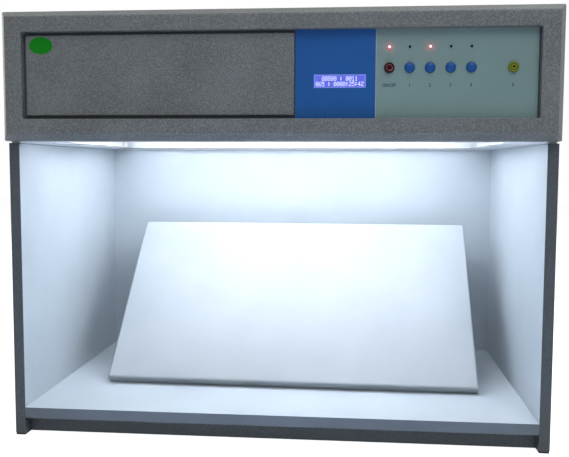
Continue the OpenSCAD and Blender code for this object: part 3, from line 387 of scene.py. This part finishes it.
def placePiece(name, bm, finishes, body=cabinetBody, node=None):
    # a bmesh as a finished piece: smooth with crisp folds, riding on its body and standing for
    # its node
    mesh = bpy.data.meshes.new(name)
    bm.to_mesh(mesh)
    bm.free()
    for finish in finishes:
        mesh.materials.append(finish)
    mesh.polygons.foreach_set("use_smooth", [True] * len(mesh.polygons))
    mesh.set_sharp_from_angle(angle=math.radians(meshLook["creaseFrom"]))
    piece = bpy.data.objects.new(name, mesh)
    scene.collection.objects.link(piece)
    normals = piece.modifiers.new("normals", "WEIGHTED_NORMAL")
    normals.keep_sharp = True
    graph = bpy.context.evaluated_depsgraph_get()
    piece.data = bpy.data.meshes.new_from_object(piece.evaluated_get(graph), depsgraph=graph)
    piece.modifiers.clear()
    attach(piece, frame["nodes"][node]["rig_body"] if node else body)
    if node:
        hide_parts(node)


def foldEdges(bm, least, where=None, longerThan=0.0):
    # edges that turn by at least so many degrees, are longer than so many mm, and that a test on
    # their middle in mm lets through
    found = []
    for edge in bm.edges:
        if len(edge.link_faces) != 2 or edge.calc_face_angle(0) < math.radians(least):
            continue
        middle = (edge.verts[0].co + edge.verts[1].co) / 2 / mm
        if edge.calc_length() > longerThan * mm and (where is None or where(middle)):
            found.append(edge)
    return found


def soften(bm, edges, radius, segments=3):
    # rounds edges off to a radius in mm
    bmesh.ops.bevel(bm, geom=edges, offset=radius * mm, offset_type="OFFSET", segments=segments,
                    profile=0.5, affect="EDGES", clamp_overlap=False)


def dress(finish, *nodes):
    # a new finish on nodes whose shape stays
    for node in nodes:
        mesh = frame["nodes"][node].data
        mesh.materials.clear()
        mesh.materials.append(finish)


# cabinet panels: light paint towards the chamber, dark texture enamel on the outside and the cut
# edges
panelLook = {"edgeRadius": 0.8, "shortestEdge": 20, "cutBelowFloor": 0.01, "cutWithin": 0.001,
             "paintBelowFloor": 0.02, "buttWithin": 0.1}
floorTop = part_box("floor_panel")[1].z
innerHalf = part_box("floor_panel")[1].x / mm
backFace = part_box("floor_panel")[1].y / mm
insideWays = {
    "left_side_panel": Vector((1, 0, 0)),
    "right_side_panel": Vector((-1, 0, 0)),
    "back_panel": Vector((0, -1, 0)),
    "floor_panel": Vector((0, 0, 1)),
    "front_plinth": None,  # it has no side in the chamber
}


def awayFromCorners(p):
    # whether a point in mm is clear of the chamber's corners, where one board butts on another
    within = panelLook["buttWithin"]
    return abs(p.x) <= innerHalf - within and p.y <= backFace - within


for node, inside in insideWays.items():
    bm = mergedMesh(node)
    bmesh.ops.bisect_plane(bm, geom=bm.verts[:] + bm.edges[:] + bm.faces[:],
                           plane_co=(0, 0, floorTop - panelLook["cutBelowFloor"] * mm),
                           plane_no=(0, 0, 1), dist=panelLook["cutWithin"] * mm)
    paintFrom = floorTop - panelLook["paintBelowFloor"] * mm
    for face in bm.faces:
        lit = inside and face.normal.dot(inside) > squareOn
        face.material_index = 1 if lit and face.calc_center_median().z > paintFrom else 0
    # edges that butt on another board inside the chamber stay sharp, so no groove shows there
    butted = node in ("back_panel", "floor_panel")
    outer = foldEdges(bm, cornerAngle, awayFromCorners if butted else None,
                      longerThan=panelLook["shortestEdge"])
    soften(bm, outer, panelLook["edgeRadius"])
    # both outside finishes carry a painted bluish tint of the booth's light
    outside = edgeBanding if node == "floor_panel" else boardEnamel
    placePiece(node + "_board", bm, [outside, chamberPaint], node=node)
print("panels done")

# lamp housing: folded sheet steel, so every outer fold has the radius of its bend
housingLook = {"foldRadius": 1.6, "rimRadius": 1.3, "seamRadius": 0.35, "shortestSeam": 20,
               "flange": 8.5, "flangeDepth": 13.0, "skinDepth": 0.05}
frameLo, frameHi = [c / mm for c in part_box("header_front_frame")]
housingMiddle = (frameLo.z + frameHi.z) / 2


def outerSkin(p):
    # whether a point in mm lies on the outside of the front frame's face, slanted flanges or skirt
    depth = housingLook["flangeDepth"]
    grown = (min(p.y - frameLo.y, depth) / depth - 1) * housingLook["flange"]
    reachX = frameHi.x + grown - housingLook["skinDepth"]
    reachZ = (frameHi.z - frameLo.z) / 2 + grown - housingLook["skinDepth"]
    return abs(p.x) > reachX or abs(p.z - housingMiddle) > reachZ


bm = mergedMesh("header_front_frame")
rearOfSkirt = max(v.co.y for v in bm.verts if outerSkin(v.co / mm)) / mm - closeBy
folds = foldEdges(bm, bendAngle, lambda p: outerSkin(p) and p.y < rearOfSkirt)
soften(bm, folds, housingLook["foldRadius"], segments=4)
rim = foldEdges(bm, cornerAngle, lambda p: p.y < frameLo.y + closeBy and not outerSkin(p))
soften(bm, rim, housingLook["rimRadius"])
placePiece("housing_front", bm, [housingEnamel], node="header_front_frame")

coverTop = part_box("header_cover")[1] / mm
bm = mergedMesh("header_cover")
roofCorners = foldEdges(bm, cornerAngle, lambda p: abs(p.x) > coverTop.x - closeBy
                        and p.z > coverTop.z - closeBy)
soften(bm, roofCorners, housingLook["foldRadius"], segments=4)
seams = foldEdges(bm, cornerAngle, lambda p: abs(p.x) > coverTop.x - closeBy
                  or p.z > coverTop.z - closeBy, longerThan=housingLook["shortestSeam"])
soften(bm, seams, housingLook["seamRadius"], segments=2)
placePiece("housing_cover", bm, [housingEnamel], node="header_cover")

for node, name in (("header_back_panel", "housing_rear_cover"),
                   ("blank_panel", "blank_front_plate")):
    placePiece(name, mergedMesh(node), [housingEnamel], node=node)
bm = mergedMesh("header_base")
for face in bm.faces:
    face.material_index = 1 if face.normal.z < -squareOn else 0  # the chamber's white ceiling
placePiece("housing_tray", bm, [housingEnamel, reflectorEnamel], node="header_base")
# the carrier's dull dark grey is painted shade for the gaps round the panels
dress(chassisGapShade, "control_chassis")
dress(zincSteel, "chassis_nuts", "standoffs", "panel_screws")
dress(stripRubber, "foot_strips")
dress(gasketFoam, "seal_strips")
print("housing done")

# screws of the rear cover and the inlet, in mm and in shares of the head's radius
screwLook = {"headHeight": 1.8, "sunkHeight": 1.4, "topShare": 0.72, "slotShare": 1.15,
             "slotWidth": 0.9, "slotDepth": 0.9, "onFlangeWithin": 0.2}


# one Geometry Nodes tree puts a cross-slotted head on each point
def crossHeadTree():
    tree = bpy.data.node_groups.new("cross_slotted_heads", "GeometryNodeTree")
    tree.interface.new_socket("Geometry", in_out="INPUT", socket_type="NodeSocketGeometry")
    for name in ("Head Radius", "Head Height", "Top Share", "Slot Share", "Slot Width",
                 "Slot Depth"):
        tree.interface.new_socket(name, in_out="INPUT", socket_type="NodeSocketFloat")
    tree.interface.new_socket("Facing", in_out="INPUT", socket_type="NodeSocketVector")
    tree.interface.new_socket("Finish", in_out="INPUT", socket_type="NodeSocketMaterial")
    tree.interface.new_socket("Geometry", in_out="OUTPUT", socket_type="NodeSocketGeometry")
    given = addNode(tree, "NodeGroupInput").outputs
    topRadius = addNode(tree, "ShaderNodeMath", {0: given["Head Radius"], 1: given["Top Share"]},
                        operation="MULTIPLY")
    head = addNode(tree, "GeometryNodeMeshCone",
                   {"Vertices": 24, "Radius Top": topRadius.outputs[0],
                    "Radius Bottom": given["Head Radius"], "Depth": given["Head Height"]})
    slotLength = addNode(tree, "ShaderNodeMath", {0: given["Head Radius"], 1: given["Slot Share"]},
                         operation="MULTIPLY")
    slotHeight = addNode(tree, "ShaderNodeMath", {0: given["Slot Depth"], 1: 2.0},
                         operation="MULTIPLY")
    arms = []
    for first, second in ((slotLength.outputs[0], given["Slot Width"]),
                          (given["Slot Width"], slotLength.outputs[0])):
        size = addNode(tree, "ShaderNodeCombineXYZ",
                       {0: first, 1: second, 2: slotHeight.outputs[0]})
        arm = addNode(tree, "GeometryNodeMeshCube", {"Size": size.outputs[0]})
        lift = addNode(tree, "ShaderNodeCombineXYZ", {2: given["Head Height"]})
        arms.append(addNode(tree, "GeometryNodeTransform",
                            {"Geometry": arm.outputs[0], "Translation": lift.outputs[0]}))
    cut = addNode(tree, "GeometryNodeMeshBoolean", {0: head.outputs[0], 1: arms[0].outputs[0]},
                  operation="DIFFERENCE")
    tree.links.new(arms[1].outputs[0], cut.inputs[1])
    spots = addNode(tree, "GeometryNodeMeshToPoints", {"Mesh": given["Geometry"]})
    placed = addNode(tree, "GeometryNodeInstanceOnPoints",
                     {"Points": spots.outputs[0], "Instance": cut.outputs[0],
                      "Rotation": given["Facing"]})
    real = addNode(tree, "GeometryNodeRealizeInstances", {0: placed.outputs[0]})
    coloured = addNode(tree, "GeometryNodeSetMaterial",
                       {"Geometry": real.outputs[0], "Material": given["Finish"]})
    addNode(tree, "NodeGroupOutput", {0: coloured.outputs[0]})
    return tree


def scatter(name, points, tree, settings):
    # runs a tree on loose points and keeps its result as a plain mesh
    mesh = bpy.data.meshes.new(name)
    mesh.from_pydata(points, [], [])
    piece = bpy.data.objects.new(name, mesh)
    scene.collection.objects.link(piece)
    nodes = piece.modifiers.new("scatter", "NODES")
    nodes.node_group = tree
    for socket in tree.interface.items_tree:
        if socket.in_out == "INPUT" and socket.name in settings:
            nodes[socket.identifier] = settings[socket.name]
    graph = bpy.context.evaluated_depsgraph_get()
    piece.data = bpy.data.meshes.new_from_object(piece.evaluated_get(graph), depsgraph=graph)
    piece.modifiers.clear()
    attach(piece, cabinetBody)
    return piece


def islands(node):
    # the box in metres of each separate solid in a node, in the order of its mesh, which is the
    # same in every run
    bm = mergedMesh(node)
    seen = set()
    boxes = []
    for first in bm.verts:
        if first in seen:
            continue
        seen.add(first)
        reached = [first]
        for vert in reached:
            for edge in vert.link_edges:
                other = edge.other_vert(vert)
                if other not in seen:
                    seen.add(other)
                    reached.append(other)
        low = Vector([min(v.co[i] for v in reached) for i in range(3)])
        high = Vector([max(v.co[i] for v in reached) for i in range(3)])
        boxes.append((low, high))
    bm.free()
    return boxes


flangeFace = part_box("mains_inlet")[1].y
crossHeads = crossHeadTree()
screwBoxes = islands("header_screws")
for name, onInlet in (("rear_cover_screws", False), ("inlet_screws", True)):
    mine = [b for b in screwBoxes
            if (abs(b[1].y - flangeFace) < screwLook["onFlangeWithin"] * mm) == onInlet]
    height = screwLook["sunkHeight" if onInlet else "headHeight"] * mm
    seatY = mine[0][1].y - height
    spots = [((b[0].x + b[1].x) / 2, seatY, (b[0].z + b[1].z) / 2) for b in mine]
    radius = (mine[0][1].x - mine[0][0].x) / 2
    piece = scatter(name, spots, crossHeads,
                    {"Head Radius": radius, "Head Height": height,
                     "Top Share": screwLook["topShare"], "Slot Share": screwLook["slotShare"],
                     "Slot Width": screwLook["slotWidth"] * mm,
                     "Slot Depth": screwLook["slotDepth"] * mm,
                     "Facing": (-math.pi / 2, 0, 0), "Finish": zincSteel})
    if not onInlet:
        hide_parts("header_screws")
print("screws done:", len(screwBoxes))

# front panel: two printed films on an aluminium plate, a character display and six push buttons
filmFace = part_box("control_overlay")[0].y
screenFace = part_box("lcd_glass")[0].y
# the plate's darker grey is painted shade in the gaps beside the films
dress(plateGapShade, "control_plate")
dress(greyFilm, "control_overlay")
dress(blueFilm, "display_overlay")
dress(clearWindow, "lcd_window")
screenLook = {"glass": "#20266a", "core": "#5563d8", "rim": "#869af4", "strength": 0.9,
              "reach": 2.2, "patch": 14, "swing": 0.15}
windowLo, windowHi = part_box("lcd_window")
windowMiddle, windowHalf = (windowLo + windowHi) / 2, (windowHi - windowLo) / 2
dress(edgeLitScreen("edge_lit_liquid_crystal_panel", windowMiddle / mm, windowHalf / mm,
                    screenLook), "lcd_glass")
dress(blackPlastic, "lcd_module", "switch_housings")
dress(boardLacquer, "control_board", "relay_board")
dress(litLens, "leds_on")
dress(darkLens, "leds_off")

# each cap's colours: (up to this share of its radius, which of its finishes); the rings and
# centres other than the cap's own colour are painted reflections
buttonCount, wholeCap = 6, 1.1
capLooks = {
    "button_1": ([redCap, redReflectionRing, redDishReflection], "button_red",
                 [(0.35, 2), (0.5, 0), (0.68, 1), (wholeCap, 0)]),
    "button_6": ([yellowCap, yellowDishReflection], "button_yellow", [(0.27, 1), (wholeCap, 0)]),
}
plainCap = ([blueCap], "button_blue", [(wholeCap, 0)])
frontFrom = -0.05  # a cap's face looks forwards where its normal's y is below this
for i in range(1, buttonCount + 1):
    node = f"button_{i}"
    finishes, slotName, bands = capLooks.get(node, plainCap)
    lo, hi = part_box(node)
    axisX, axisZ, capRadius = (lo.x + hi.x) / 2, (lo.z + hi.z) / 2, (hi.x - lo.x) / 2
    bm = mergedMesh(node)
    for face in bm.faces:
        c = face.calc_center_median()
        share = math.hypot(c.x - axisX, c.z - axisZ) / capRadius
        band = next(index for reach, index in bands if share < reach)
        face.material_index = band if face.normal.y < frontFrom else 0
    placePiece(f"push_button_{i}", bm, finishes, node=node)

# captions in ink: plain numbers and ON/OFF under the buttons
captionLook = {"height": 4.2, "capitalShare": 0.7, "narrowing": 0.78, "boldness": 0.12,
               "drop": 21.6, "inkThickness": 0.04, "curveSteps": 3}
captionWords = {"button_1": "ON/OFF", "button_2": "1", "button_3": "2", "button_4": "3",
                "button_5": "4", "button_6": "0"}
captions = bmesh.new()
for node, words in captionWords.items():
    lo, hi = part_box(node)
    letters = bpy.data.curves.new("caption", "FONT")
    letters.body = words
    letters.align_x = "CENTER"
    letters.align_y = "CENTER"
    letters.size = captionLook["height"] * mm / captionLook["capitalShare"]
    letters.offset = captionLook["boldness"] * mm
    letters.extrude = captionLook["inkThickness"] * mm / 2
    letters.resolution_u = captionLook["curveSteps"]
    holder = bpy.data.objects.new("caption", letters)
    scene.collection.objects.link(holder)
    bpy.context.view_layer.update()
    graph = bpy.context.evaluated_depsgraph_get()
    mesh = bpy.data.meshes.new_from_object(holder.evaluated_get(graph), depsgraph=graph)
    middle = Vector(((lo.x + hi.x) / 2, filmFace - captionLook["inkThickness"] * mm / 2,
                     (lo.z + hi.z) / 2 - captionLook["drop"] * mm))
    narrowing = Matrix.Scale(captionLook["narrowing"], 4, Vector((1, 0, 0)))
    mesh.transform(Matrix.Translation(middle) @ Matrix.Rotation(math.pi / 2, 4, "X") @ narrowing)
    captions.from_mesh(mesh)
    bpy.data.objects.remove(holder)
placePiece("button_captions", captions, [captionInk])


# the display's characters: lit dots of a five by seven matrix, placed on points by Geometry Nodes
def squareDotTree():
    tree = bpy.data.node_groups.new("display_dots", "GeometryNodeTree")
    tree.interface.new_socket("Geometry", in_out="INPUT", socket_type="NodeSocketGeometry")
    for name in ("Dot Width", "Dot Height", "Dot Depth"):
        tree.interface.new_socket(name, in_out="INPUT", socket_type="NodeSocketFloat")
    tree.interface.new_socket("Finish", in_out="INPUT", socket_type="NodeSocketMaterial")
    tree.interface.new_socket("Geometry", in_out="OUTPUT", socket_type="NodeSocketGeometry")
    given = addNode(tree, "NodeGroupInput").outputs
    size = addNode(tree, "ShaderNodeCombineXYZ", {0: given["Dot Width"], 1: given["Dot Depth"],
                                                  2: given["Dot Height"]})
    dot = addNode(tree, "GeometryNodeMeshCube", {"Size": size.outputs[0]})
    spots = addNode(tree, "GeometryNodeMeshToPoints", {"Mesh": given["Geometry"]})
    placed = addNode(tree, "GeometryNodeInstanceOnPoints",
                     {"Points": spots.outputs[0], "Instance": dot.outputs[0]})
    real = addNode(tree, "GeometryNodeRealizeInstances", {0: placed.outputs[0]})
    coloured = addNode(tree, "GeometryNodeSetMaterial",
                       {"Geometry": real.outputs[0], "Material": given["Finish"]})
    addNode(tree, "NodeGroupOutput", {0: coloured.outputs[0]})
    return tree


displayLook = {"cellWidth": 3.75, "rowPitch": 6.6, "dotPitchX": 0.66, "dotPitchZ": 0.78,
               "dotWidth": 0.58, "dotHeight": 0.7, "dotDepth": 0.06}
displayRows = ["  88888 : 0011  ", "065 : 0000:25:42"]
dotRows = {
    "0": "01110 10001 10011 10101 11001 10001 01110",
    "1": "00100 01100 00100 00100 00100 00100 01110",
    "2": "01110 10001 00001 00110 01000 10000 11111",
    "4": "00010 00110 01010 10010 11111 00010 00010",
    "5": "11111 10000 11110 00001 00001 10001 01110",
    "6": "00110 01000 10000 11110 10001 10001 01110",
    "8": "01110 10001 10001 01110 10001 10001 01110",
    ":": "00000 01100 01100 00000 01100 01100 00000",
}
dotY = screenFace - displayLook["dotDepth"] * mm
litSpots = []
for row, words in enumerate(displayRows):
    for column, sign in enumerate(words):
        if sign == " ":
            continue
        # a sign is seven dots high, so its top row is three above its middle
        left = windowMiddle.x + (column - len(words) / 2) * displayLook["cellWidth"] * mm
        top = windowMiddle.z + ((0.5 - row) * displayLook["rowPitch"]
                                + 3 * displayLook["dotPitchZ"]) * mm
        for j, dots in enumerate(dotRows[sign].split()):
            for k, on in enumerate(dots):
                if on == "1":
                    litSpots.append((left + (k + 0.5) * displayLook["dotPitchX"] * mm, dotY,
                                     top - j * displayLook["dotPitchZ"] * mm))
scatter("display_dots", litSpots, squareDotTree(),
        {"Dot Width": displayLook["dotWidth"] * mm, "Dot Height": displayLook["dotHeight"] * mm,
         "Dot Depth": displayLook["dotDepth"] * mm, "Finish": litDot})

# a bare oval sticker on the blank plate; each of its rings is (mm inside its outline, share of
# its thickness)
stickerLook = {"width": 31.2, "height": 21.8, "thickness": 0.15, "fromLeft": 20.6,
               "fromTop": 13.4, "steps": 72, "rings": ((0, 0), (0, 0.7), (0.35, 1))}
plateLo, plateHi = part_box("blank_panel")
centre = Vector((plateLo.x + stickerLook["fromLeft"] * mm, plateLo.y,
                 plateHi.z - stickerLook["fromTop"] * mm))
bm = bmesh.new()
rings = []
for shrink, proud in stickerLook["rings"]:
    ring = []
    for k in range(stickerLook["steps"]):
        angle = 2 * math.pi * k / stickerLook["steps"]
        ring.append(bm.verts.new(centre + Vector((
            (stickerLook["width"] / 2 - shrink) * math.cos(angle),
            -proud * stickerLook["thickness"],
            (stickerLook["height"] / 2 - shrink) * math.sin(angle))) * mm))
    rings.append(ring)
for inner, outer in zip(rings[1:], rings):
    for k in range(stickerLook["steps"]):
        n = (k + 1) % stickerLook["steps"]
        bm.faces.new((outer[k], outer[n], inner[n], inner[k]))
bm.faces.new(rings[-1])
bm.faces.new(rings[0][::-1])
bmesh.ops.recalc_face_normals(bm, faces=bm.faces)
placePiece("oval_sticker", bm, [ovalVinyl])
print("front panel done:", len(litSpots), "lit dots")

# lamp bay: white reflector, holders and tubes; the front and the rear tube belong to the source
# that is on, and the rear one has aged
lampLook = {"count": 4, "holderRadius": 0.8, "shortestHolderEdge": 12}
lampFinishes = {1: litPhosphor, 4: agedPhosphor}
for i in range(1, lampLook["count"] + 1):
    placePiece(f"fluorescent_tube_{i}", mergedMesh(f"lamp_{i}_tube"),
               [lampFinishes.get(i, darkPhosphor)], node=f"lamp_{i}_tube")
    placePiece(f"tube_end_caps_{i}", mergedMesh(f"lamp_{i}_caps"), [satinAluminium],
               node=f"lamp_{i}_caps")
    dress(whitePlastic, f"lamp_{i}_rotors")
placePiece("lamp_reflector", mergedMesh("reflector"), [reflectorEnamel],
           node="reflector")
dress(reflectorEnamel, "lamp_brackets")
bm = mergedMesh("lampholders")
holderEdges = foldEdges(bm, cornerAngle, longerThan=lampLook["shortestHolderEdge"])
soften(bm, holderEdges, lampLook["holderRadius"], segments=2)
placePiece("tube_holders", bm, [whitePlastic], node="lampholders")
placePiece("bulb_cups", mergedMesh("bulb_holders"), [whitePlastic],
           node="bulb_holders")
placePiece("bulb_screw_bases", mergedMesh("bulb_bases"), [contactBrass],
           node="bulb_bases")
placePiece("bulb_glasses", mergedMesh("bulbs"), [bulbGlass], node="bulbs")
dress(zincSteel, "ballasts")
print("lamp bay done")

# mains inlet on the back, with its fuse drawer
inletLook = {"edgeRadius": 0.6, "shortestEdge": 3}
bm = mergedMesh("mains_inlet")
flangeEdges = foldEdges(bm, cornerAngle, lambda p: p.y > flangeFace / mm - closeBy,
                        longerThan=inletLook["shortestEdge"])
soften(bm, flangeEdges, inletLook["edgeRadius"], segments=2)
placePiece("inlet_housing", bm, [blackPlastic], node="mains_inlet")
placePiece("fuse_drawer_body", mergedMesh("fuse_drawer"), [blackPlastic],
           node="fuse_drawer")
dress(contactBrass, "inlet_pins")
dress(bulbGlass, "fuse")

# viewing stand: a folded tray of thin sheet, powder coated
standLook = {"rimRadius": 0.4, "shortestRim": 20}
for node, name in (("stand_board", "stand_tray"), ("stand_leg", "stand_rear_leg")):
    bm = mergedMesh(node)
    hems = foldEdges(bm, hemAngle, longerThan=standLook["shortestRim"])
    soften(bm, hems, standLook["rimRadius"], segments=2)
    placePiece(name, bm, [standPaint], node=node)
print("inlet and stand done")


def seenRays(tree):
    # 1 for rays from the camera, off gloss and through glass, 0 for those that only bring light
    path = addNode(tree, "ShaderNodeLightPath")
    seen = addNode(tree, "ShaderNodeMath",
                   {0: path.outputs["Is Camera Ray"], 1: path.outputs["Is Glossy Ray"]},
                   operation="MAXIMUM")
    seenAtAll = addNode(tree, "ShaderNodeMath",
                        {0: seen.outputs[0], 1: path.outputs["Is Transmission Ray"]},
                        operation="MAXIMUM")
    return seenAtAll.outputs[0]


# stage: a pale floor and white surroundings that the lamps don't have to whiten
studio = {"floorSize": 14.0, "paper": ("#e6e6e6", "#ebebeb"), "fibre": 4, "floorLift": 0.86,
          "ambient": 0.13}
floorReach = studio["floorSize"] / 2
bm = bmesh.new()
bm.faces.new([bm.verts.new((x * floorReach, y * floorReach, 0))
              for x, y in ((-1, -1), (1, -1), (1, 1), (-1, 1))])
floorMesh = bpy.data.meshes.new("studio_floor")
bm.to_mesh(floorMesh)
bm.free()
floor = bpy.data.objects.new("studio_floor", floorMesh)
scene.collection.objects.link(floor)
floorPaper, tree, place = startFinish("white_backdrop_paper")
fibre = addNode(tree, "ShaderNodeTexNoise",
                {"Vector": place, "Scale": 1 / studio["fibre"], "Detail": 3.0})
paperTone = addNode(tree, "ShaderNodeMix",
                    {0: fibre.outputs["Fac"], 6: linearColour(studio["paper"][0]),
                     7: linearColour(studio["paper"][1])}, data_type="RGBA")
paper = addNode(tree, "ShaderNodeBsdfDiffuse", {"Color": paperTone.outputs[2]})
lift = addNode(tree, "ShaderNodeEmission", {"Strength": studio["floorLift"]})
lifted = addNode(tree, "ShaderNodeAddShader", {0: paper.outputs[0], 1: lift.outputs[0]})
endFinish(tree, addNode(tree, "ShaderNodeMixShader",
                        {0: seenRays(tree), 1: paper.outputs[0], 2: lifted.outputs[0]}))
floorMesh.materials.append(floorPaper)

world = bpy.data.worlds.new("studio_surroundings")
world.use_nodes = True
tree = world.node_tree
tree.nodes.clear()
brightness = addNode(tree, "ShaderNodeMapRange",
                     {"Value": seenRays(tree), "To Min": studio["ambient"], "To Max": 1.0})
surroundings = addNode(tree, "ShaderNodeBackground", {"Color": linearColour("#ffffff"),
                                                       "Strength": brightness.outputs[0]})
addNode(tree, "ShaderNodeOutputWorld", {0: surroundings.outputs[0]})
scene.world = world

# soft lamps in metres and watts; table_bounce is the booth's own bluish light, thrown back by the
# table in front of it
studioLamps = {
    "front_key": {"place": (0.5, -2.2, 2.6), "target": (0, -0.2, 0.45), "size": (2.4, 1.6),
                  "power": 38.5, "colour": "#ffffff"},
    "front_fill": {"place": (0.3, -3.2, 1.2), "target": (0, -0.2, 0.45), "size": (2.6, 1.4),
                   "power": 3.5, "colour": "#a9caff"},
    "table_bounce": {"place": (0, -0.46, 0.01), "target": (0, -0.46, 1), "size": (0.6, 0.36),
                     "power": 0.85, "colour": "#8fbcff"},
    "overhead": {"place": (0.7, -0.3, 2.7), "target": (0, 0, 0.5), "size": (2.4, 2.0),
                 "power": 25, "colour": "#ffffff"},
    "rear_fill": {"place": (0.6, 2.8, 1.6), "target": (0, 0.2, 0.4), "size": (2.4, 1.6),
                  "power": 16, "colour": "#ffffff"},
    "left_rear_fill": {"place": (-2.4, 2.0, 1.4), "target": (0, 0, 0.4), "size": (2.0, 1.6),
                       "power": 14, "colour": "#ffffff"},
}
for name, look in studioLamps.items():
    lamp = bpy.data.lights.new(name, "AREA")
    lamp.shape = "RECTANGLE"
    lamp.size, lamp.size_y = look["size"]
    lamp.energy = look["power"]
    lamp.color = linearColour(look["colour"])[:3]
    holder = bpy.data.objects.new(name, lamp)
    holder.location = look["place"]
    aim = Vector(look["target"]) - Vector(look["place"])
    holder.rotation_euler = aim.to_track_quat("-Z", "Y").to_euler()
    holder.visible_camera = False
    scene.collection.objects.link(holder)

# the red spill of the two lit indicators on the film round them
spillLook = {"ahead": 1.1, "radius": 0.8, "power": 0.0013, "colour": "#ff3038"}
for number, (low, high) in enumerate(islands("leds_on")):
    spill = bpy.data.lights.new(f"indicator_spill_{number + 1}", "POINT")
    spill.energy = spillLook["power"]
    spill.color = linearColour(spillLook["colour"])[:3]
    spill.shadow_soft_size = spillLook["radius"] * mm
    holder = bpy.data.objects.new(spill.name, spill)
    holder.location = ((low.x + high.x) / 2, low.y - spillLook["ahead"] * mm,
                       (low.z + high.z) / 2)
    scene.collection.objects.link(holder)

# camera: in front of the cabinet at two thirds of its height, turned a little to the left;
# places in mm, angles in degrees
lens = {"x": 102.3, "y": -1190.6, "z": 365.6, "turn": 5.195, "dip": 4.559, "lean": 0.222,
        "focalPixels": 771.9, "imageWidth": 569, "sensorWidth": 36.0, "farthest": 50}
turn, dip, lean = (math.radians(lens[k]) for k in ("turn", "dip", "lean"))
level = Vector((-math.sin(turn), math.cos(turn), 0))
side = Vector((math.cos(turn), math.sin(turn), 0))
forward = math.cos(dip) * level - math.sin(dip) * Vector((0, 0, 1))
above = math.cos(dip) * Vector((0, 0, 1)) + math.sin(dip) * level
right = math.cos(lean) * side + math.sin(lean) * above
upward = math.cos(lean) * above - math.sin(lean) * side
camera = bpy.data.cameras.new("view")
camera.sensor_fit = "HORIZONTAL"
camera.sensor_width = lens["sensorWidth"]
camera.lens = lens["focalPixels"] / lens["imageWidth"] * lens["sensorWidth"]
camera.clip_end = lens["farthest"]
cameraHolder = bpy.data.objects.new("view", camera)
turned = Matrix((right, upward, -forward)).transposed().to_4x4()
eye = Vector((lens["x"], lens["y"], lens["z"])) * mm
cameraHolder.matrix_world = Matrix.Translation(eye) @ turned
scene.collection.objects.link(cameraHolder)
scene.camera = cameraHolder
scene.view_settings.view_transform = "Standard"
print("stage, lamps and camera done")

bpy.context.view_layer.update()
